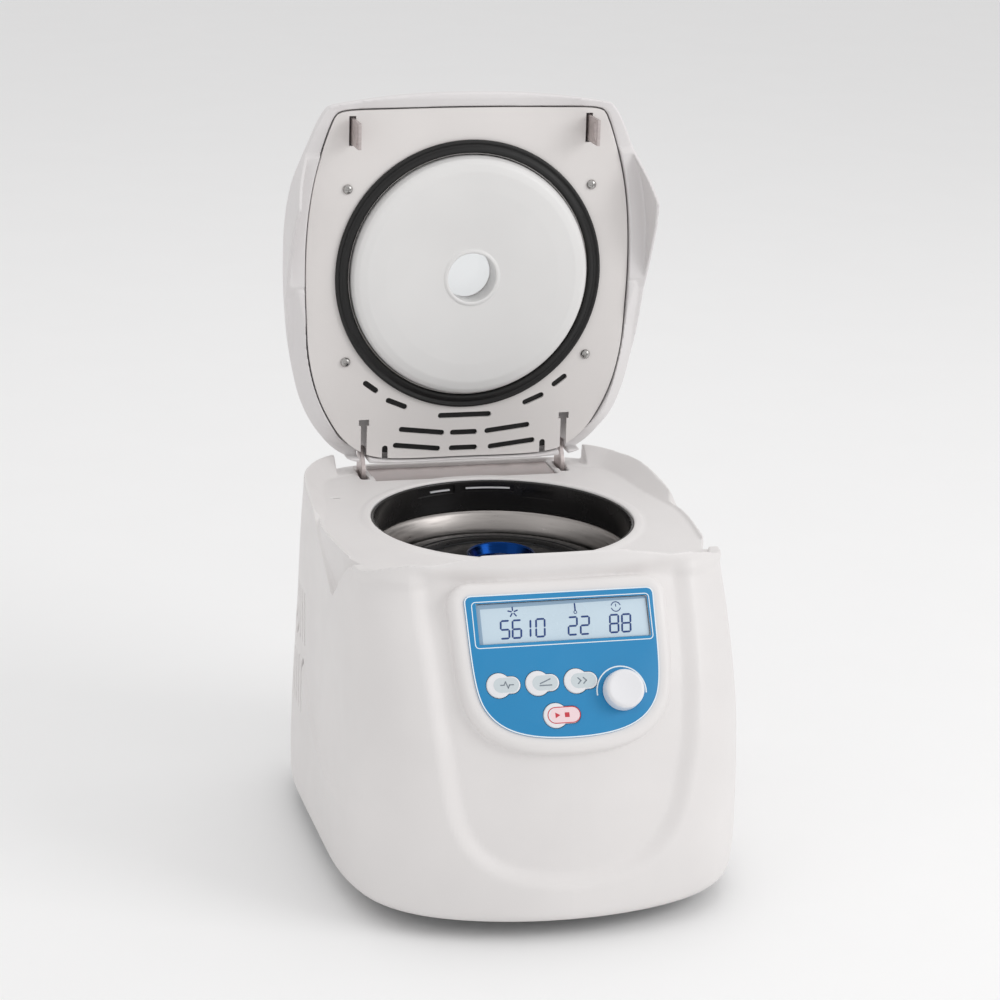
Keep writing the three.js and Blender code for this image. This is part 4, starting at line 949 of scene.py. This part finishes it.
def make_rotor():
    z = ROTOR_LID_Z
    profile = [
        (8, z - 3), (30, z - 3), (81, z - 4), (83, z - 2.8), (82.4, z - 1.4), (78, z - 0.6), (77, z + 0.4),
        (70, z + 1), (69.4, z + 0.5), (66, z + 0.8), (65.4, z + 1.4), (58, z + 0.9), (57, z + 0.2),
        (46, z + 0.8), (45.4, z + 1.6), (36, z + 1.8), (33, z + 1.2), (31, z - 0.4), (8, z - 0.4),
    ]
    cover = turned("rotor_lid", profile, 0.4, 160)
    dress(shade(cover, 40), ROTOR_METAL, "spindle", "rotor", "rotor_lid")
    profile = [
        (0, z), (24, z), (25.2, z + 1.6), (25.2, z + 10), (24, z + 11), (22.8, z + 10.2), (20.4, z + 3.4),
        (9.4, z + 3.0), (8.6, z + 3.6), (8, z + 7.4), (6.6, z + 8), (3.4, z + 8), (3, z + 6), (0, z + 6),
    ]
    knob = turned("rotor_knob", profile, 0.5, 128)
    dress(shade(knob, 40), BLUE_METAL, "rotor_clamp", "anodised", "rotor_knob")


make_chamber()
make_rotor()

# ---------------- lid
LINER_OUTLINE = [
    (0, -125.6), (60, -125), (96, -123.6), (101.5, -121.5), (105, -115), (112, -95), (118, -72),
    (122, -45), (123.8, -10), (123, 25), (120.5, 60), (114, 88), (105, 108), (94, 124), (80, 135),
    (66, 139.6), (0, 141),
]
# The lower edge of the closed lid, seen from the side, with the skirt in the middle.
LID_EDGE = [
    (-150, 2.2), (-133, 2.2), (-126, 4.6), (-94, 5.4), (-60.5, -28.6), (-58, -29.6), (-55.5, -28.6),
    (14, 6.4), (40, 10.6), (70, 14.2), (138.6, 14.4), (138.8, 2.2), (150, 2.2),
]
LINER_Z = 5.2
DOME_SIZE = np.array([1, 1, 0.998, 0.994, 0.988, 0.978, 0.964, 0.94, 0.9, 0.8, 0.6, 0.3])
DOME_RISE = np.array([0, 0.4, 0.58, 0.72, 0.83, 0.905, 0.945, 0.965, 0.98, 0.99, 0.997, 1])
DOME_FOOT = 3


def dome_rings(outline, foot, wall, sizes=DOME_SIZE, rises=DOME_RISE):
    centre = np.array([0, 4.0])
    rings = []
    for size, rise in zip(sizes, rises):
        plan = centre + (np.asarray(outline) - centre) * size
        crest = 27.6 - 8.6 * ease((-plan[:, 1] + 60) / 197)
        z = DOME_FOOT + (crest - DOME_FOOT) * rise - (wall if rise > 0.5 else 0)
        if rise == 0:
            z = np.full(len(plan), float(foot))
        rings.append([(x, y, h) for (x, y), h in zip(plan, z)])
    return rings


def lid_rim():
    """The bevelled rim of the lid's rear half, which follows the sloping wall of the recess."""
    foot = smooth_closed(mirrored(RECESS_FOOT), 240)
    slope = np.interp(foot[:, 1], *RECESS_SLOPE)
    rings = [at_height(offset_ring(foot, (z - 1.8) * slope - 1), z) for z in (2.2, 4, 8, 16)]
    rim = loft("rim", rings, LID_TO_FRAME)
    combine(rim, [block("front", -BEYOND, BEYOND, -200, 9, 0, 20, LID_TO_FRAME)], "DIFFERENCE")
    return rim


def make_lid_shell():
    outline = smooth_closed(mirrored(LID_OUTLINE), 280)
    liner = smooth_closed(mirrored(LINER_OUTLINE), 200)
    shell = loft("lid_shell", dome_rings(outline, -45, 0), LID_TO_FRAME)
    inside = offset_ring(outline, -2.8)
    cutters = [prism("skirt_inside", inside, -60, 2.2, LID_TO_FRAME)]
    lip = offset_ring(liner, 1.1)
    cutters.append(prism("lip", lip, -5, 15, LID_TO_FRAME))
    cutters.append(loft("room", dome_rings(offset_ring(outline, -3), 14.6, 2.2), LID_TO_FRAME))
    below = prism_x("below", LID_EDGE + [(150, -80), (-150, -80)], -BEYOND, BEYOND, LID_TO_FRAME)
    combine(below, [lid_rim()], "DIFFERENCE")
    cutters.append(below)
    combine(shell, cutters, "DIFFERENCE")
    boss = turned("boss", [(0, 14), (24, 14), (24, 26.5), (0, 26.5)], 0.2, 96, LID_TO_FRAME)
    combine(shell, [boss], "UNION")
    profile = [(0, -10), (18.6, -10), (18.6, 16), (22, 16), (27, 40), (0, 40)]
    cutters = [turned("seat", profile, 0.2, 96, LID_TO_FRAME)]
    for x in (-ARM_X, ARM_X):
        cutters.append(centred(x, 3.4, 133, 160, -20, 24, LID_TO_FRAME))
        cutters.append(centred(x, 5, 109.6, 115.4, -20, 9, LID_TO_FRAME))
        cutters.append(centred(x, 3.4, 114, 160, -20, 9, LID_TO_FRAME))
    combine(shell, cutters, "DIFFERENCE")
    mould(shell, 4)
    dress(shell, LID_SHELL, "lid", "lid_shell", "lid_shell")


VENTS = [
    (-18.9, 108.6, 18.5, 108.6),
    (-49, 118.3, -17.8, 121.9), (-9.2, 122.2, 7.9, 122.2), (17.8, 121.9, 49, 118.3),
    (-53.4, 130.6, -20.7, 134.3), (-9.8, 134.4, 8.2, 134.4), (20.7, 134.3, 53.4, 130.6),
    (-77.3, 81.4, -69.6, 87.1), (-59.5, 95.3, -47, 100.5),
    (69.6, 87.1, 77.3, 81.4), (47, 100.5, 59.5, 95.3),
]
LID_SCREWS = {
    "lid_screw_front_left": (-93.2, -66.4),
    "lid_screw_front_right": (93.2, -66.4),
    "lid_screw_rear_left": (-93.2, 64.3),
    "lid_screw_rear_right": (93.2, 64.3),
}


def make_liner():
    outline = smooth_closed(mirrored(LINER_OUTLINE), 260)
    plate = soft_prism("lid_liner", outline, LINER_Z, LINER_Z + 2, 0.3, LID_TO_FRAME, 0.5)
    cutters = [drill("hole", 91.4, 0, 12, 160, LID_TO_FRAME)]
    for ends in VENTS:
        cutters.append(prism("vent", slot_ring(*ends, 4.3), 0, 12, LID_TO_FRAME))
    for x in (-61.6, 61.6):
        cutters.append(prism("notch", slot_ring(x, 132.6, x, 160, 4.6), 0, 12, LID_TO_FRAME))
    for side in (-1, 1):
        cutters.append(centred(side * STRIKER_X, 2.6, STRIKER_Y - 11, STRIKER_Y + 11, 0, 12, LID_TO_FRAME))
        cutters.append(centred(side * ARM_X, 4, 109.6, 114.4, 0, 12, LID_TO_FRAME))
        cutters.append(centred(side * ARM_X, 2.4, 114, 160, 0, 12, LID_TO_FRAME))
    combine(plate, cutters, "DIFFERENCE")
    dress(bevel(plate, 0.25, 2, 50), LINER, "lid", "liner", "lid_liner")


def make_lid_backing():
    """A dark sheet behind the liner, seen through its slots."""
    outline = offset_ring(smooth_closed(mirrored(LINER_OUTLINE), 200), -4)
    sheet = prism("lid_backing", outline, 7.8, 8.4, LID_TO_FRAME)
    cutters = [drill("hole", 93, 0, 12, 160, LID_TO_FRAME)]
    for side in (-1, 1):
        cutters.append(centred(side * STRIKER_X, 9, STRIKER_Y - 11, STRIKER_Y + 11, 0, 12, LID_TO_FRAME))
        cutters.append(centred(side * ARM_X, 13, 108, 160, 0, 12, LID_TO_FRAME))
        for y in (-66.4, 64.3):
            cutters.append(centred(side * 93.2, 3, y - 3, y + 3, 0, 12, LID_TO_FRAME))
    combine(sheet, cutters, "DIFFERENCE")
    dress(shade(sheet), RUBBER, "lid", "rubber")


def make_lid_rings():
    """The raised inner disc, the gasket round it and the window over the sight hole."""
    profile = [
        (18.4, -6.4), (19.6, -6.9), (20.8, -6.6), (21.6, -5.9), (24, -6.0), (40, -6.7), (66, -7.8),
        (80, -7.6), (86, -6.2), (89, -3.6), (90.4, 1), (90.4, 10), (88.2, 10), (87.8, 0), (84, -4),
        (40, -4), (22, -3.4), (21, 11.6), (18.4, 11.6),
    ]
    disc = turned("lid_disc", profile, 1.2, 160, LID_TO_FRAME)
    dress(shade(disc, 50), DISC, "lid", "disc", "lid_disc")
    profile = [
        (91.8, 4.8), (92.6, 2.6), (94, 1.9), (96, 2.1), (97.4, 3.2), (98.6, 3.2), (100, 2.0), (101.4, 2.3),
        (102, 3.4), (102, 4.8),
    ]
    gasket = turned("lid_gasket", profile, 0.6, 160, LID_TO_FRAME)
    dress(shade(gasket, 60), RUBBER, "lid", "rubber", "lid_gasket")
    window = turned("lid_window", [(0, 16.4), (21.4, 16.4), (21.4, 19.4), (0, 19.4)], 0.3, 96, LID_TO_FRAME)
    dress(shade(window, 40), WINDOW, "lid", "window", "lid_window")


def make_lid_screws():
    profile = [(0, 2.6), (1.4, 2.7), (2.8, 3.2), (3.7, 4.4), (3.7, 4.8), (1.5, 4.8), (1.5, 12), (0, 12)]
    bars = ((1.9, 0.4), (0.4, 1.9))
    for name, (x, y) in LID_SCREWS.items():
        screw = turned(name, profile, 0.2, 40, LID_TO_FRAME, (x, y))
        cross = [centred(x, dx, y - dy, y + dy, 0, 3.8, LID_TO_FRAME) for dx, dy in bars]
        combine(screw, cross, "DIFFERENCE")
        dress(shade(screw, 35), SCREW, "lid", "steel", name)


def make_strikers():
    """The latch plates that hang from the front corners of the lid."""
    for side, name in ((-1, "striker_left"), (1, "striker_right")):
        x = side * STRIKER_X
        y = STRIKER_Y
        blade = block(name, x - 1.2, x + 1.2, y - 9.6, y + 9.6, -20.6, 14, LID_TO_FRAME)
        foot = block("foot", x - 8, x + 8, y - 9.6, y + 9.6, 11.6, 14, LID_TO_FRAME)
        combine(blade, [foot], "UNION")
        eye = block("eye", x - 5, x + 5, y - 6.8, y + 6.8, -17.4, -12, LID_TO_FRAME)
        combine(blade, [eye], "DIFFERENCE")
        dress(bevel(blade, 0.35, 2), PLATE, "lid", "plate", name)


ARM_OUTLINE = [(117, -66), (137, -66), (137, 17), (136.4, 21), (134, 23), (131, 22.6), (122, 14), (117, 5)]


def make_hinge():
    """The two fixed arms and the metal tray between them."""
    for side, name in ((-1, "hinge_arm_left"), (1, "hinge_arm_right")):
        x = side * ARM_X
        arm = prism_x(name, rounded(ARM_OUTLINE, 2.5, True), x - 1.5, x + 1.5)
        dress(bevel(arm, 0.3, 2), PLATE, "base", "plate", name)
    tray = block("hinge_tray", -70.4, 70.4, 109, REAR_WALL - 0.4, -3.4, -2)
    combine(tray, [drill("rim", POST_RADIUS + 1, -60, 60)], "DIFFERENCE")
    dress(bevel(tray, 0.3, 2), PLATE, "base", "plate")


make_lid_shell()
make_liner()
make_lid_backing()
make_lid_rings()
make_lid_screws()
make_strikers()
make_hinge()


# ---------------- feet
FOOT_PROFILE = [
    (0, -14), (7, -14), (7.4, -13.2), (9, -13.2), (9.4, -14), (11.4, -14), (13, -12.4), (15, -0.4), (0, -0.4),
]


def make_feet():
    for name in ("foot_front_left", "foot_front_right", "foot_rear_left", "foot_rear_right"):
        low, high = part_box(name)
        center = ((low[0] + high[0]) / 2 / MM, ((low[1] + high[1]) / 2 - AXIS_Y) / MM)
        profile = [(radius, z + PAN_BOTTOM) for radius, z in FOOT_PROFILE]
        foot = turned(name, profile, 0.5, 64, TO_FRAME, center)
        dress(shade(foot, 45), RUBBER, "base", "rubber", name)


make_feet()

# ---------------- finishes of the CAD pieces that stay
CAD_FINISHES = {
    HOUSING: ["rear_panel"],
    PAN_PAINT: ["base_pan"],
    BLACK: ["power_inlet", "switch_frame", "power_rocker", "latch_motor", "motor_body"],
    RUBBER: ["motor_damper_1", "motor_damper_2", "motor_damper_3", "shaft_seal"],
    STEEL: [
        "armour_ring", "motor_plate", "motor_shaft", "knob_encoder", "hinge_rod", "latch_case_left",
        "latch_case_right", "latch_bolt_left", "latch_bolt_right", "power_supply",
    ],
    PLATE: ["hinge_block_left", "hinge_block_right"],
    BOARD: ["display_module", "control_board", "drive_board"],
    ROTOR_METAL: ["rotor"],
}
for finish, names in CAD_FINISHES.items():
    for name in names:
        data = frame["nodes"][name].data
        data.materials.clear()
        data.materials.append(finish)


# ---------------- camera, floor and light
CAMERA_PLACE = (-550.6, -2044.9, 667.4)
AZIMUTH = math.radians(15.01)
ELEVATION = math.radians(17.16)
ROLL = math.radians(1.86)


def make_camera():
    level = Vector((math.sin(AZIMUTH), math.cos(AZIMUTH), 0))
    forward = math.cos(ELEVATION) * level - Vector((0, 0, math.sin(ELEVATION)))
    right = Vector((math.cos(AZIMUTH), -math.sin(AZIMUTH), 0))
    up = right.cross(forward)
    tilted_right = math.cos(ROLL) * right + math.sin(ROLL) * up
    tilted_up = math.cos(ROLL) * up - math.sin(ROLL) * right
    data = bpy.data.cameras.new("camera")
    data.sensor_width = 36
    data.lens = 110
    camera = add_object("camera", data)
    basis = Matrix((tilted_right, tilted_up, -forward)).transposed()
    place = TO_FRAME @ Vector(CAMERA_PLACE)
    camera.matrix_world = Matrix.Translation(place) @ basis.to_4x4()
    bpy.context.scene.camera = camera


FLOOR_HALF = 14


def make_floor():
    mesh = bpy.data.meshes.new("floor")
    corners = [(x * FLOOR_HALF, y * FLOOR_HALF, 0) for x, y in ((-1, -1), (1, -1), (1, 1), (-1, 1))]
    mesh.from_pydata(corners, [], [(0, 1, 2, 3)])
    floor = add_object("floor", mesh)
    mesh.materials.append(plastic("floor_paper", (0.93, 0.93, 0.93), 0.8, 0.0, 0.004))


def make_light(name, place, target, size, power):
    data = bpy.data.lights.new(name, "AREA")
    data.shape = "RECTANGLE"
    data.size, data.size_y = size
    data.energy = power
    light = add_object(name, data)
    light.location = place
    light.rotation_euler = (Vector(target) - Vector(place)).to_track_quat("-Z", "Y").to_euler()


def make_studio():
    world = bpy.data.worlds.new("studio")
    world.use_nodes = True
    set_inputs(world.node_tree.nodes["Background"], Color=(1.0, 0.995, 0.995, 1), Strength=0.74)
    bpy.context.scene.world = world
    make_light("key", (2.0, -1.5, 1.6), (0, 0, 0.25), (1.4, 1.4), 22)
    make_light("fill", (-2.4, -1.4, 1.2), (0, 0, 0.2), (2.0, 2.0), 4)
    make_light("top", (0.2, 0.6, 2.6), (0, 0, 0.2), (2.4, 2.4), 10)
    bpy.context.scene.view_settings.view_transform = "Standard"


make_camera()
make_floor()
make_studio()
